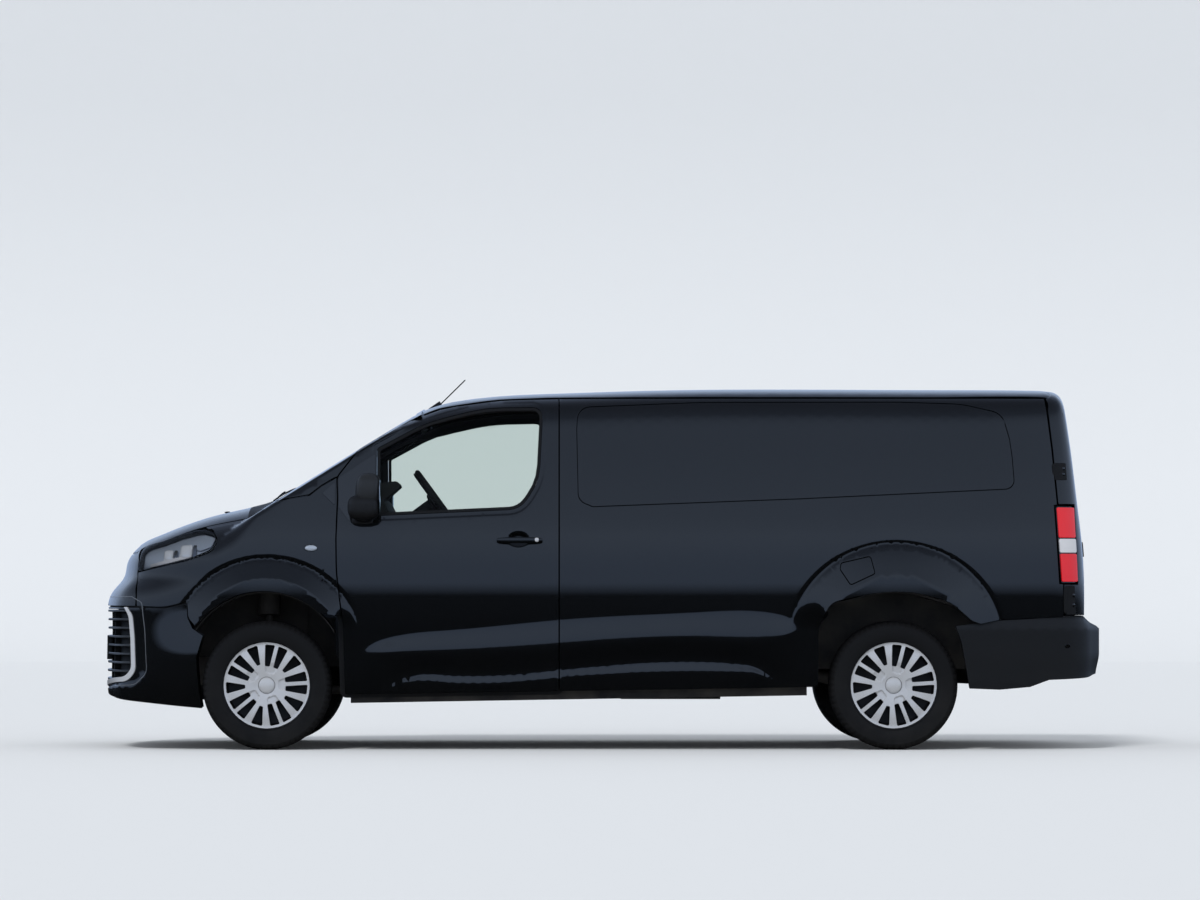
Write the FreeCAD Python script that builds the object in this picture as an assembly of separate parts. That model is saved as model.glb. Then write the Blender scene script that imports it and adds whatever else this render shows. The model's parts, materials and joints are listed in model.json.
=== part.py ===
import FreeCAD, Part
import math
import os

# Panel van, mm. X runs rearwards, Y to the van's right, Z up. The origin is on the ground
# below the middle of the overall length.

# Overall body
LENGTH = 5331.0
WIDTH = 1920.0
HEIGHT = 1907.0
WHEELBASE = 3275.0
FRONT_OVERHANG = 903.0
SILL_Z = 250.0
WAIST_Z = 920.0
BELT_Z = 1200.0
WALL = 50.0
SHUT = 6.5
BONNET_GAP = 9.5
SEAT_GAP = 0.3

# Wheels and tracks
TYRE_R = 337.0
TYRE_W = 215.0
TREAD_W = 172.0
SHOULDER_R = 318.0
RIM_R = 222.0
RIM_W = 186.0
TRACK_FRONT = 1627.0
TRACK_REAR = 1600.0
KINGPIN_LOW_Y = 740.0
KINGPIN_TOP_Y = 620.0

# Side view stations
NOSE_X = -LENGTH / 2
FRONT_AXLE_X = NOSE_X + FRONT_OVERHANG
FRONT_ARCH_X = FRONT_AXLE_X - 12.0
REAR_AXLE_X = FRONT_AXLE_X + WHEELBASE
DOOR_REAR_X = -235.0
TAIL_X = 2568.0
SCREEN_BASE_X = -1784.0
SCREEN_BASE_Z = 1300.0
SCREEN_TOP_X = -959.0
SCREEN_TOP_Z = 1796.0
BONNET_NOSE_X = -2520.0
BONNET_NOSE_Z = 1060.0
ROOF_RAIL_Z = 1842.0
ROOF_HALF = 742.0
FLOOR_Z = 560.0
FLOOR_T = 40.0
CAB_FLOOR_Z = 400.0
HOUSE_Y = 640.0
WELL_WALL_Y = 500.0
LINER_IN_Y = 722.0
LINER_T = 6.0
LINER_LOW_Z = 430.0
LINER_EDGE = 14.0

# Wheel arches in the side view
ARCH_Z = 395.0
ARCH_R = 430.0

# Doors and their hinges
PIN_R = 4.7
PIN_FIT = 0.08
ROOF_BAR_X = 300.0
ROOF_BAR_PITCH = 1200.0
ROOF_BAR_Y = 690.0
ROOF_HOLE_R = 4.2
GRILLE_DEEP = 64.0
REAR_BUMPER_T = 42.0
ARM_H = 44.0
FRONT_HINGE_X = -1335.0
FRONT_HINGE_Y = 948.0
FRONT_HINGE_Z = (700.0, 1040.0)
REAR_HINGE_X = 2404.0
REAR_HINGE_Y = 936.5
REAR_HINGE_Z = (800.0, 1440.0)
BONNET_T = 30.0
BONNET_DROP = 80.0
SCREEN_DROP = 45.0
POST_Y = 800.0
SILL_IN_Y = 864.0
SILL_CLEAR = 8.0
POST_OUT_Y = 858.0
BONNET_EDGE_X = -1862.0
BONNET_AXIS_X = -1917.0
PILLAR_W = 42.0
BONNET_AXIS_Z = 1196.0
BONNET_AXIS_Y = 600.0
STEER_CLEAR_R = 396.0
HUB_R = 30.0
DISC_R = 145.0
COVER_T = 12.0
COVER_GROUPS = 5
COVER_TURN = 75.5
CAP_R = 42.0
RECESS_DEEP = 5.0
BALL_R = 10.0
STRUT_R = 17.0
KNUCKLE_LOW_Z = 275.0
KNUCKLE_TOP_Z = 430.0
STRUT_TOP_Z = 860.0
CAB_BACK_X = -100.0
COWL_Z = 1160.0
TROUGH_X = -1776.0
FIREWALL_X = -1530.0
APRON_Z = 850.0
APRON_END_X = -1665.0
COLUMN_L = 300.0
WHEEL_TILT = 54.0


def vec(x, y, z):
    return FreeCAD.Vector(x, y, z)


def rounded(points):
    """Edges of a closed outline. A point is (a, b) or (a, b, radius of its corner)."""
    flat = [vec(p[0], p[1], 0) for p in points]
    ends = []
    count = len(points)
    for i, p in enumerate(points):
        here, before, after = flat[i], flat[i - 1], flat[(i + 1) % count]
        if len(p) < 3:
            ends.append((here, None, here))
            continue
        u = (before - here).normalize()
        v = (after - here).normalize()
        half = u.getAngle(v) / 2
        reach = p[2] / math.tan(half)
        middle = (u + v).normalize()
        top = here + middle * (p[2] / math.sin(half) - p[2])
        ends.append((here + u * reach, top, here + v * reach))
    edges = []
    for i in range(count):
        start, top, stop = ends[i]
        if top is not None:
            edges.append(Part.Arc(start, top, stop).toShape())
        following = ends[(i + 1) % count][0]
        if (following - stop).Length > 0.01:
            edges.append(Part.LineSegment(stop, following).toShape())
    return edges


def face_of(points, inset=0.0):
    """Flat face in the XY plane from a rounded outline, drawn in by inset."""
    wire = Part.Wire(rounded(points))
    face = Part.Face(wire)
    if inset:
        face = face.makeOffset2D(-inset, 2)
    return face


def turned(face, first, second):
    """Puts a face drawn in XY onto the plane of two row directions."""
    third = first.cross(second)
    matrix = FreeCAD.Matrix(first.x, second.x, third.x, 0, first.y, second.y, third.y, 0,
                            first.z, second.z, third.z, 0, 0, 0, 0, 1)
    return face.transformed(matrix, True)


def prism_y(points, y0, y1, inset=0.0):
    """Side view outline (x, z) carried from y0 to y1."""
    face = turned(face_of(points, inset), vec(1, 0, 0), vec(0, 0, 1))
    face.translate(vec(0, y0, 0))
    return face.extrude(vec(0, y1 - y0, 0))


def prism_x(points, x0, x1, inset=0.0):
    """Front view outline (y, z) carried from x0 to x1."""
    face = turned(face_of(points, inset), vec(0, 1, 0), vec(0, 0, 1))
    face.translate(vec(x0, 0, 0))
    return face.extrude(vec(x1 - x0, 0, 0))


def prism_z(points, z0, z1, inset=0.0):
    """Plan outline (x, y) carried from z0 to z1."""
    face = face_of(points, inset)
    face.translate(vec(0, 0, z0))
    return face.extrude(vec(0, 0, z1 - z0))


def box(x0, x1, y0, y1, z0, z1):
    return Part.makeBox(x1 - x0, y1 - y0, z1 - z0, vec(x0, y0, z0))


def cylinder_y(radius, x, z, y0, y1):
    return Part.makeCylinder(radius, y1 - y0, vec(x, y0, z), vec(0, 1, 0))


def cylinder_z(radius, x, y, z0, z1):
    return Part.makeCylinder(radius, z1 - z0, vec(x, y, z0), vec(0, 0, 1))


def rod(start, stop, radius):
    axis = stop - start
    return Part.makeCylinder(radius, axis.Length, start, axis)


def fused(solids):
    result = solids[0].fuse(solids[1:]) if len(solids) > 1 else solids[0]
    return result.removeSplitter()


def mirrored(shape):
    return shape.mirror(vec(0, 0, 0), vec(0, 1, 0))


def both_sides(shape):
    return Part.makeCompound([shape, mirrored(shape)])


def largest(shape):
    return max(shape.Solids, key=lambda solid: solid.Volume)


# Half of the front view outline from the sill up: half-width, height, corner radius
SECTION = (
    (WIDTH / 2 - 34, SILL_Z, 30.0),
    (WIDTH / 2 - 14, 480.0, 400.0),
    (WIDTH / 2, WAIST_Z - 140, 900.0),
    (WIDTH / 2 - 6, BELT_Z - 90, 700.0),
    (WIDTH / 2 - 122, HEIGHT - 92, 120.0),
    (ROOF_HALF - 130, HEIGHT - 6, 700.0),
)

# Side view outline of the closed body without the bonnet step: x, z, corner radius
SILHOUETTE = (
    (NOSE_X, 258.0, 20.0),
    (NOSE_X + 14, 800.0, 500.0),
    (-2568.0, BONNET_NOSE_Z - 40, 90.0),
    (SCREEN_BASE_X - 760, 1700.0),
    (SCREEN_TOP_X - 20, 1810.0),
    (-560.0, 1880.0, 900.0),
    (300.0, HEIGHT, 4000.0),
    (TAIL_X - 122, HEIGHT - 6, 40.0),
    (TAIL_X - 70, 1560.0, 700.0),
    (TAIL_X, 980.0, 500.0),
    (TAIL_X, 360.0, 30.0),
    (-1300.0, SILL_Z),
    (-2350.0, 232.0),
)

# Half of the plan outline from the nose to the tail: x, half-width, corner radius
PLAN = (
    (NOSE_X, 300.0, 1500.0),
    (-2560.0, 690.0, 260.0),
    (-2330.0, 885.0, 520.0),
    (-1500.0, WIDTH / 2 + 8, 2500.0),
    (2050.0, WIDTH / 2 + 8, 2500.0),
    (TAIL_X - 150, 918.0, 120.0),
    (TAIL_X - 40, 760.0, 200.0),
    (TAIL_X + 4, 250.0, 900.0),
)


def both(table):
    """Mirrors a half outline (u, v) about v = 0 into a closed one."""
    return [tuple(p) for p in table] + [(p[0], -p[1]) + tuple(p[2:]) for p in reversed(table)]


def section_outline():
    right = [tuple(p) for p in SECTION]
    left = [(-p[0],) + tuple(p[1:]) for p in reversed(SECTION)]
    return right + left


def above(start, stop, rise, drop, inset):
    """Space above a crowned sheet that slopes from start to stop, each an (x, z) pair."""
    slope = vec(stop[0] - start[0], 0, stop[1] - start[1]).normalize()
    normal = vec(-slope.z, 0, slope.x)
    origin = vec(start[0], 0, start[1]) - normal * inset - slope * 900
    half = 1200.0
    side = -drop * (half / 800.0) ** 2
    arc = Part.Arc(vec(-half, side, 0), vec(0, 0, 0), vec(half, side, 0)).toShape()
    lines = [Part.LineSegment(vec(half, side, 0), vec(half, rise, 0)).toShape(),
             Part.LineSegment(vec(half, rise, 0), vec(-half, rise, 0)).toShape(),
             Part.LineSegment(vec(-half, rise, 0), vec(-half, side, 0)).toShape()]
    face = Part.Face(Part.Wire([arc] + lines))
    placed = turned(face, vec(0, 1, 0), normal)
    placed.translate(origin)
    return placed.extrude(slope * 2900)


def hull(inset=0.0):
    """The whole closed body, drawn in by inset on every face."""
    body = prism_x(section_outline(), NOSE_X - 10, TAIL_X + 10, inset)
    body = body.common(prism_y(SILHOUETTE, -WIDTH, WIDTH, inset))
    body = body.common(prism_z(both(PLAN), 0, HEIGHT + 10, inset))
    bonnet_over = above((BONNET_NOSE_X, BONNET_NOSE_Z + 42), (SCREEN_BASE_X, SCREEN_BASE_Z + 6),
                        1500, BONNET_DROP, inset)
    screen_over = above((SCREEN_BASE_X, SCREEN_BASE_Z), (SCREEN_TOP_X, SCREEN_TOP_Z + 12),
                        1500, SCREEN_DROP, inset)
    return body.cut(bonnet_over.common(screen_over))


# Side view outlines of the skin panels: x, z, corner radius
DOOR_LINE = ((-1399.0, 1100.0), (-1391.0, 1313.0), (-1396.0, 1425.0, 60.0), (-1281.0, 1573.0),
             (-1071.0, 1697.0), (-862.0, 1790.0, 500.0), (-548.0, 1834.0, 900.0))
DOOR = ((-1356.0, 288.0), (-1366.0, 687.0), (-1396.0, 920.0)) + DOOR_LINE + (
    (DOOR_REAR_X, ROOF_RAIL_Z), (DOOR_REAR_X, 306.0))
DOOR_WINDOW = ((-1187.0, 1222.0, 12.0), (-1187.0, 1575.0, 25.0), (-914.0, 1722.0, 800.0),
               (-620.0, 1795.0, 700.0), (-318.0, 1797.0, 55.0), (-338.0, 1400.0, 300.0),
               (-440.0, 1256.0, 120.0))
PANEL_REAR = ((2307.0, 1879.0), (2344.0, 1576.0), (2370.0, 1278.0), (2395.0, 1001.0),
              (2402.0, 692.0))
SIDE_PANEL = ((DOOR_REAR_X, 306.0), (DOOR_REAR_X, ROOF_RAIL_Z), (2313.0, ROOF_RAIL_Z)) + \
    PANEL_REAR[1:] + ((2050.0, 673.0), (1880.0, 645.0), (1880.0, 328.0), (1100.0, 328.0))
SLIDING_DOOR = ((DOOR_REAR_X, 375.0), (DOOR_REAR_X, 1800.0), (868.0, 1806.0, 60.0),
                (868.0, 375.0, 60.0))
REAR_DOOR = ((2313.0, ROOF_RAIL_Z),) + PANEL_REAR[1:] + ((2700.0, 692.0), (2700.0, ROOF_RAIL_Z))
WING = ((-2455.0, 748.0), (-2300.0, 742.0), (-2178.0, 770.0), (-2165.0, 690.0), (-2078.0, 600.0),
        (-2078.0, 420.0), (-1360.0, 420.0), (-1366.0, 687.0), (-1396.0, 920.0), (-1399.0, 1100.0),
        (-1391.0, 1313.0), (-1396.0, 1425.0), (-1470.0, 1400.0), (-1515.0, 1445.0),
        (-1515.0, 1700.0), (-2455.0, 1700.0))
BUMPER = ((-2700.0, 200.0), (-2700.0, 752.0), (-2455.0, 748.0), (-2300.0, 742.0),
          (-2178.0, 770.0), (-2165.0, 690.0), (-2078.0, 600.0), (-2078.0, 200.0))
NOSE_PANEL = ((-2700.0, 752.0), (-2455.0, 748.0), (-2455.0, 1300.0), (-2700.0, 1300.0))
CAB_FRAME = ((BONNET_EDGE_X, 1050.0), (BONNET_EDGE_X, 1500.0), (-990.0, 2000.0),
             (-955.0, 2000.0), (-955.0, 1752.0), (-1071.0, 1697.0), (-1281.0, 1573.0),
             (-1396.0, 1425.0, 60.0), (-1391.0, 1313.0), (-1399.0, 1100.0), (-1396.0, 1050.0))
HEADLAMP = ((-2470.0, 925.0, 15.0), (-2440.0, 1062.0, 60.0), (-2305.0, 1112.0, 200.0),
            (-2110.0, 1163.0, 120.0), (-2016.0, 1130.0, 40.0), (-2045.0, 1045.0, 60.0),
            (-2174.0, 990.0, 200.0))
TAIL_LAMP = ((2385.0, 872.0), (2360.0, 1272.0), (2462.0, 1272.0, 20.0), (2478.0, 872.0, 20.0))

# Plan outlines, half of each: x, half-width, corner radius
BONNET = ((-2700.0, 520.0), (-2450.0, 560.0, 120.0), (-2300.0, 700.0, 200.0),
          (BONNET_EDGE_X, 745.0, 15.0))
# Roof from the windscreen header back, over the doors and side panels
ROOF = ((-955.0, 1752.0), (-862.0, 1790.0, 500.0), (-548.0, 1834.0, 900.0),
        (DOOR_REAR_X, ROOF_RAIL_Z), (2700.0, ROOF_RAIL_Z), (2700.0, 2000.0), (-955.0, 2000.0))

SCREEN = ((-1756.0, 812.0, 60.0), (-992.0, 700.0, 50.0))

THIN_SPOKE_SLOT = ((97.0, 10.0), (197.0, 10.0), (188.0, 56.0), (95.0, 34.0))
BETWEEN_SLOT = ((112.0, -9.0), (194.0, -28.0), (194.0, 28.0), (112.0, 9.0))
COVER_RECESS = ((62.0, -24.0), (90.0, -31.0), (120.0, -36.0), (120.0, 36.0), (90.0, 31.0),
                (62.0, 24.0))
REAR_BUMPER_PLAN = ((1955.0, 930.0), (2150.0, 952.0, 600.0), (2520.0, 925.0, 150.0),
                    (2632.0, 720.0, 200.0), (LENGTH / 2, 250.0, 900.0))

# Front view outline of the grille mouth, half: half-width, z, corner radius
GRILLE = ((655.0, 300.0, 50.0), (590.0, 690.0, 50.0))


def skin(shell, zone, gap=SHUT / 2):
    """The piece of the shell inside a side view zone, on the left side, with no floor lip."""
    return shell.common(prism_y(zone, -WIDTH, -560.0, gap)).cut(
        box(-3000, 3000, -SILL_IN_Y - 1, 0, 0, CAB_FLOOR_Z + 40))


def screen_zone(grow):
    """Space over the windscreen opening, grown sideways and along its slope."""
    return prism_z(both(SCREEN), 1100, 2000, -grow)


def front_arch(y0, y1):
    return cylinder_y(ARCH_R, FRONT_ARCH_X, ARCH_Z, y0, y1)


def rear_arch(y0, y1, grow=0.0):
    outline = ((1085.0 - grow, 200.0), (1108.0 - grow, 742.0, 120.0),
               (1540.0, 852.0 + grow, 520.0), (2010.0 + grow, 700.0, 260.0),
               (2030.0 + grow, 200.0))
    return prism_y(outline, y0, y1)


def steering_room(z1):
    """Space that the steered left wheel sweeps inside the wing."""
    return cylinder_z(STEER_CLEAR_R, FRONT_AXLE_X, -KINGPIN_LOW_Y + 17, 0, z1).common(
        box(-2500, -1000, -907, 0, 0, z1))


def front_door(shell):
    """Left door with its window cut, hinge pockets and pin bores."""
    door = skin(shell, DOOR).cut(screen_zone(PILLAR_W + SHUT))
    door = door.cut(prism_y(DOOR_WINDOW, -WIDTH, -500.0))
    door = door.cut(box(-1500, 0, -SILL_IN_Y - SILL_CLEAR, 0, 0, CAB_FLOOR_Z))
    half = ARM_H / 2 + 6
    for z in FRONT_HINGE_Z:
        door = door.cut(box(-1450, FRONT_HINGE_X + 12, -FRONT_HINGE_Y - 5.2, -860, z - half, z + half))
        door = door.cut(cylinder_z(PIN_R + PIN_FIT, FRONT_HINGE_X, -FRONT_HINGE_Y,
                                   z - half - 12.5, z + half + 12.5))
    return largest(door.cut(front_arch(-WIDTH, 0)))


def hinge_arms():
    """Arms from the left door post out to the door's hinge line."""
    arms = []
    for z in FRONT_HINGE_Z:
        arms.append(box(FRONT_HINGE_X - PIN_R, FRONT_HINGE_X + PIN_R, -FRONT_HINGE_Y, -POST_OUT_Y,
                        z - ARM_H / 2, z + ARM_H / 2))
        arms.append(cylinder_z(PIN_R, FRONT_HINGE_X, -FRONT_HINGE_Y, z - ARM_H / 2 - 18,
                               z + ARM_H / 2 + 18))
    return arms


def pane(zone, y1=-500.0, thick=5.0, deep=8.0):
    """A glass that fills a side view opening."""
    return largest(hull(deep).cut(hull(deep + thick)).common(
        prism_y(zone, -WIDTH, y1, SEAT_GAP)))


def mirror():
    """Left door mirror: head, arm and foot as one housing."""
    head = prism_y(((-1315.0, 1262.0, 50.0), (-1322.0, 1330.0, 60.0), (-1290.0, 1425.0, 50.0),
                    (-1180.0, 1436.0, 20.0), (-1178.0, 1215.0, 20.0), (-1262.0, 1205.0, 50.0)),
                   -1102.0, -965.0)
    arm = prism_x(((-1010.0, 1200.0), (-1010.0, 1240.0), (-925.0, 1222.0), (-925.0, 1176.0)),
                  -1285.0, -1200.0)
    return fused([head, arm.cut(hull(-SEAT_GAP))])


def handle():
    """Left door handle bar, standing off the skin on two feet."""
    bar = box(-568, -326, -984, -972, 1082, 1110)
    feet = [box(x, x + 26, -973, -940, 1086, 1106) for x in (-562, -358)]
    return fused([bar] + feet).cut(hull(-SEAT_GAP))


def rear_door(shell):
    """Left rear door with its hinge leaves."""
    door = shell.common(prism_y(REAR_DOOR, -WIDTH, -SHUT / 2, SHUT / 2))
    door = largest(door.cut(prism_y(TAIL_LAMP, -WIDTH, -788.0, -SHUT)))
    leaves = []
    for z in REAR_HINGE_Z:
        for low in (z - 44, z + 16):
            leaves.append(cylinder_z(11.0, REAR_HINGE_X, -REAR_HINGE_Y, low, low + 28))
            leaves.append(box(REAR_HINGE_X - 4, REAR_HINGE_X + 46, -REAR_HINGE_Y - 4, -880,
                              low, low + 28).cut(hull(20.0)))
    door = fused([door] + leaves)
    for z in REAR_HINGE_Z:
        door = door.cut(cylinder_z(PIN_R + PIN_FIT, REAR_HINGE_X, -REAR_HINGE_Y, z - 60, z + 60))
        door = door.cut(box(REAR_HINGE_X - 16, REAR_HINGE_X + 16, -REAR_HINGE_Y - 16, -905.0,
                            z - 16, z + 16))
    return largest(door)


def rear_hinge_roots():
    """Left side leaves that carry the rear door's hinge pins."""
    roots = []
    for z in REAR_HINGE_Z:
        leaf = prism_z(((2296.0, -860.0), (2296.0, -918.0), (REAR_HINGE_X, -REAR_HINGE_Y - 8),
                        (REAR_HINGE_X, -REAR_HINGE_Y + 2), (2338.0, -902.0), (2338.0, -860.0)),
                       z - 13, z + 13)
        roots += [leaf, cylinder_z(11.0, REAR_HINGE_X, -REAR_HINGE_Y, z - 13, z + 13),
                  cylinder_z(PIN_R, REAR_HINGE_X, -REAR_HINGE_Y, z - 44, z + 44)]
    return roots


def tyre(x, y):
    """Tyre as a ring with straight walls and sloping shoulders; it stands on the ground."""
    half, tread = TYRE_W / 2, TREAD_W / 2
    outline = ((RIM_R, -half), (SHOULDER_R, -half), (TYRE_R, -tread), (TYRE_R, tread),
               (SHOULDER_R, half), (RIM_R, half))
    face = turned(face_of(outline), vec(0, 0, 1), vec(0, 1, 0))
    ring = face.revolve(vec(0, 0, 0), vec(0, 1, 0), 360)
    ring.translate(vec(x, y, TYRE_R))
    return ring


def round_hub(outline, angle):
    """Turns an outline (along, across) round the hub, for a cut through the cover."""
    c, s = math.cos(math.radians(angle)), math.sin(math.radians(angle))
    return [(u * c - v * s, u * s + v * c) for u, v in outline]


def cover():
    """Wheel cover: five groups of one thin and two broad spokes, each round a pentagon recess."""
    front = -RIM_W / 2 + 8
    plate = cylinder_y(RIM_R - 10, 0, 0, front, front + COVER_T)
    pitch = 360.0 / COVER_GROUPS
    other_side = [(u, -v) for u, v in reversed(THIN_SPOKE_SLOT)]
    for k in range(COVER_GROUPS):
        angle = COVER_TURN + pitch * k
        for outline, at, deep in ((THIN_SPOKE_SLOT, angle, COVER_T), (other_side, angle, COVER_T),
                                  (BETWEEN_SLOT, angle + pitch / 2, COVER_T),
                                  (COVER_RECESS, angle, RECESS_DEEP)):
            plate = plate.cut(prism_y(round_hub(outline, at), front - 1, front + deep))
    cap = Part.makeCone(CAP_R - 8, CAP_R, 10, vec(0, front - 10, 0), vec(0, 1, 0))
    return plate.fuse(cap)


def rim(x, y):
    """Left wheel rim: barrel, cover, hub with its bore, brake disc."""
    half = RIM_W / 2
    barrel = cylinder_y(RIM_R - SEAT_GAP, 0, 0, -half, half).cut(
        cylinder_y(RIM_R - 14, 0, 0, -half, half))
    hub = cylinder_y(70, 0, 0, -half + 18, half - 72)
    disc = cylinder_y(DISC_R, 0, 0, half - 90, half - 68)
    wheel = fused([barrel, cover(), hub, disc])
    wheel = wheel.cut(cylinder_y(HUB_R + PIN_FIT / 2, 0, 0, -half + 28, half - 58))
    wheel.translate(vec(x, y, TYRE_R))
    return wheel


def on_kingpin(z):
    """Point of the left steering axis at a height; it leans in towards its top."""
    lean = (KINGPIN_LOW_Y - KINGPIN_TOP_Y) / (STRUT_TOP_Z - KNUCKLE_LOW_Z)
    return vec(FRONT_AXLE_X, -KINGPIN_LOW_Y + (z - KNUCKLE_LOW_Z) * lean, z)


def kingpin_rod(radius, z0, z1):
    return rod(on_kingpin(z0), on_kingpin(z1), radius)


def knuckle():
    """Left steering knuckle: upright between two ball pins, with the wheel's spindle."""
    x, z = FRONT_AXLE_X, TYRE_R
    low, top = on_kingpin(KNUCKLE_LOW_Z), on_kingpin(KNUCKLE_TOP_Z)
    upright = prism_x(((low.y - 26, low.z), (low.y + 28, low.z), (top.y + 26, top.z),
                       (top.y - 30, top.z)), x - 34, x + 34)
    bores = kingpin_rod(BALL_R + PIN_FIT / 2, low.z - 9, low.z + 42).fuse(
        kingpin_rod(BALL_R + PIN_FIT / 2, top.z - 42, top.z + 9))
    spindle = cylinder_y(HUB_R, x, z, -TRACK_FRONT / 2 - RIM_W / 2 + 29, low.y)
    flange = cylinder_y(52, x, z, low.y - 26, low.y + 10)
    steering_arm = box(x + 20, x + 150, low.y + 8, low.y + 30, z - 50, z - 28)
    return fused([upright, spindle, flange, steering_arm]).cut(bores)


def front_subframe():
    """Cross frame with lower arms, ball pins and strut towers, both sides."""
    x = FRONT_AXLE_X
    beam = box(x - 210, x + 260, -380, 380, 232, 300)
    mouth = box(x - 150, x + 140, -250, 250, 200, 330)
    half = []
    arm = prism_z(((x - 70, -370.0), (x + 190, -370.0), (x + 26, -KINGPIN_LOW_Y - 22),
                   (x - 26, -KINGPIN_LOW_Y - 22)), 232, KNUCKLE_LOW_Z - 8)
    half += [arm, kingpin_rod(BALL_R, 240, KNUCKLE_LOW_Z + 40)]
    half += [box(x - 60, x + 60, -425, -385, 290, STRUT_TOP_Z), box(x - 60, x + 60, -425, -330, 232, 300),
             box(x - 60, x + 60, -700, -385, STRUT_TOP_Z - 20, STRUT_TOP_Z)]
    half += [kingpin_rod(STRUT_R, KNUCKLE_TOP_Z + 9, STRUT_TOP_Z - 10),
             kingpin_rod(58, STRUT_TOP_Z - 160, STRUT_TOP_Z - 25),
             kingpin_rod(BALL_R, KNUCKLE_TOP_Z - 40, KNUCKLE_TOP_Z + 20)]
    pieces = [beam.cut(mouth)]
    for piece in half:
        pieces += [piece, mirrored(piece)]
    return fused(pieces)


def front_structure():
    """Rails, crash beam, upper crossmember and wheel aprons that carry the nose."""
    x = FRONT_AXLE_X
    half = [box(-2560, -1560.0 - SEAT_GAP, -490, -430, 480, 560),
            box(-2240, -1560.0 - SEAT_GAP, -WELL_WALL_Y, -485, 480, STRUT_TOP_Z - 24),
            box(-2475, -2430, -470, -430, 480, 1000),
            box(-2440, -2400, -905, -430, APRON_Z, APRON_Z + 40),
            box(-2440, APRON_END_X - SEAT_GAP, -905, -820, APRON_Z, APRON_Z + 40),
            box(x - 60, x + 90, -860, -430, STRUT_TOP_Z + SEAT_GAP, APRON_Z + 40),
            box(x + 62, x + 90, -490, -430, 540, APRON_Z + 40),
            box(-2250, -2050, -440, -380 - SEAT_GAP, 480, 540),
            box(-2600, -2440, -470, -430, 760, 800),
            box(-2700, -2440, -800, -670, 480, 560),
            box(-2700, -2440, -470, -430, 950, 990)]
    across = [box(-2475, -2440 - SEAT_GAP, -480, 480, 480, 540),
              box(-2700, -2430, -440, 440, 950, 990),
              box(-2475, -2440 - SEAT_GAP, -30, 30, 480, 990)]
    for piece in half:
        across += [piece, mirrored(piece)]
    beam = box(-2700, -2480, -720, 720, 480, 560).common(hull(GRILLE_DEEP + SEAT_GAP))
    return largest(fused([fused(across).common(hull(WALL + SEAT_GAP)).cut(
        hull(WALL).cut(hull(GRILLE_DEEP + SEAT_GAP)).common(box(-2700, -2400, -668, 668, 200, 700))), beam]))


def rear_axle():
    """Dead beam with trailing arms, coil springs and a spindle at each end."""
    x = REAR_AXLE_X
    end = TRACK_REAR / 2 + RIM_W / 2 - 29
    pieces = [rod(vec(x, -620, TYRE_R - 30), vec(x, 620, TYRE_R - 30), 45)]
    for side in (-1, 1):
        pieces.append(box(x - 60, x + 60, min(side * 610, side * 680), max(side * 610, side * 680),
                          TYRE_R - 80, TYRE_R + 70))
        pieces.append(rod(vec(x, side * 660, TYRE_R), vec(x, side * end, TYRE_R), HUB_R))
        pieces.append(rod(vec(x - 620, side * 560, 430), vec(x, side * 600, TYRE_R - 30), 34))
        pieces.append(box(x - 660, x - 580, min(side * 525, side * 595), max(side * 525, side * 595),
                          390, FLOOR_Z - SEAT_GAP))
        pieces.append(cylinder_z(55, x - 140, side * 520, TYRE_R - 60, FLOOR_Z - SEAT_GAP))
        pieces.append(box(x - 200, x - 20, min(side * 470, side * 600), max(side * 470, side * 600),
                          TYRE_R - 75, TYRE_R - 50))
    return fused(pieces)


def floor_pan():
    """Load floor, cab floor, sills and the closed rear wheel houses."""
    pieces = [box(CAB_BACK_X, 2375, -905, 905, FLOOR_Z, FLOOR_Z + FLOOR_T),
              box(-1200, CAB_BACK_X + 40, -905, 905, CAB_FLOOR_Z, CAB_FLOOR_Z + 30),
              box(-1330, -1190, -POST_OUT_Y, POST_OUT_Y, CAB_FLOOR_Z, CAB_FLOOR_Z + 30),
              box(CAB_BACK_X, CAB_BACK_X + 40, -905, 905, CAB_FLOOR_Z, FLOOR_Z + 5),
              box(-1360, -1320, -POST_Y + SEAT_GAP, POST_Y - SEAT_GAP, CAB_FLOOR_Z, 690 - SEAT_GAP)]
    for side in (-1, 1):
        pieces.append(box(CAB_BACK_X, 1060, *sorted((side * 905, side * 840)), 390, FLOOR_Z + 5))
        pieces.append(prism_y(((1060.0, 470.0), (2300.0, 480.0), (2300.0, 565.0), (1060.0, 565.0)),
                              *sorted((side * 440, side * 360))))
    pan = fused(pieces).common(hull(WALL + SEAT_GAP))
    for side in (-1, 1):
        pan = pan.cut(rear_arch(*sorted((side * 1000, side * (HOUSE_Y - 2 * SEAT_GAP))), SEAT_GAP))
        sill = prism_y(((-1325.0, 244.0), (1060.0, 284.0), (1060.0, 400.0), (-1325.0, 400.0)),
                       *sorted((side * SILL_IN_Y, side * 700)))
        horn = box(2290, 2700, *sorted((side * 440, side * 360)), 480, 560).common(
            prism_z(both(REAR_BUMPER_PLAN), 300, 700, REAR_BUMPER_T + SEAT_GAP))
        pan = pan.fuse([sill, horn])
    return pan.removeSplitter()


def wheel_house():
    """Left rear wheel house: an arch over the wheel with its inner wall."""
    house = rear_arch(-905.0, -HOUSE_Y + SEAT_GAP).cut(rear_arch(-1000.0, -HOUSE_Y - 15, -15.0))
    return house.common(box(900, 2200, -1000, 1000, FLOOR_Z - 140, 1000)).common(
        hull(WALL + SEAT_GAP))


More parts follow.
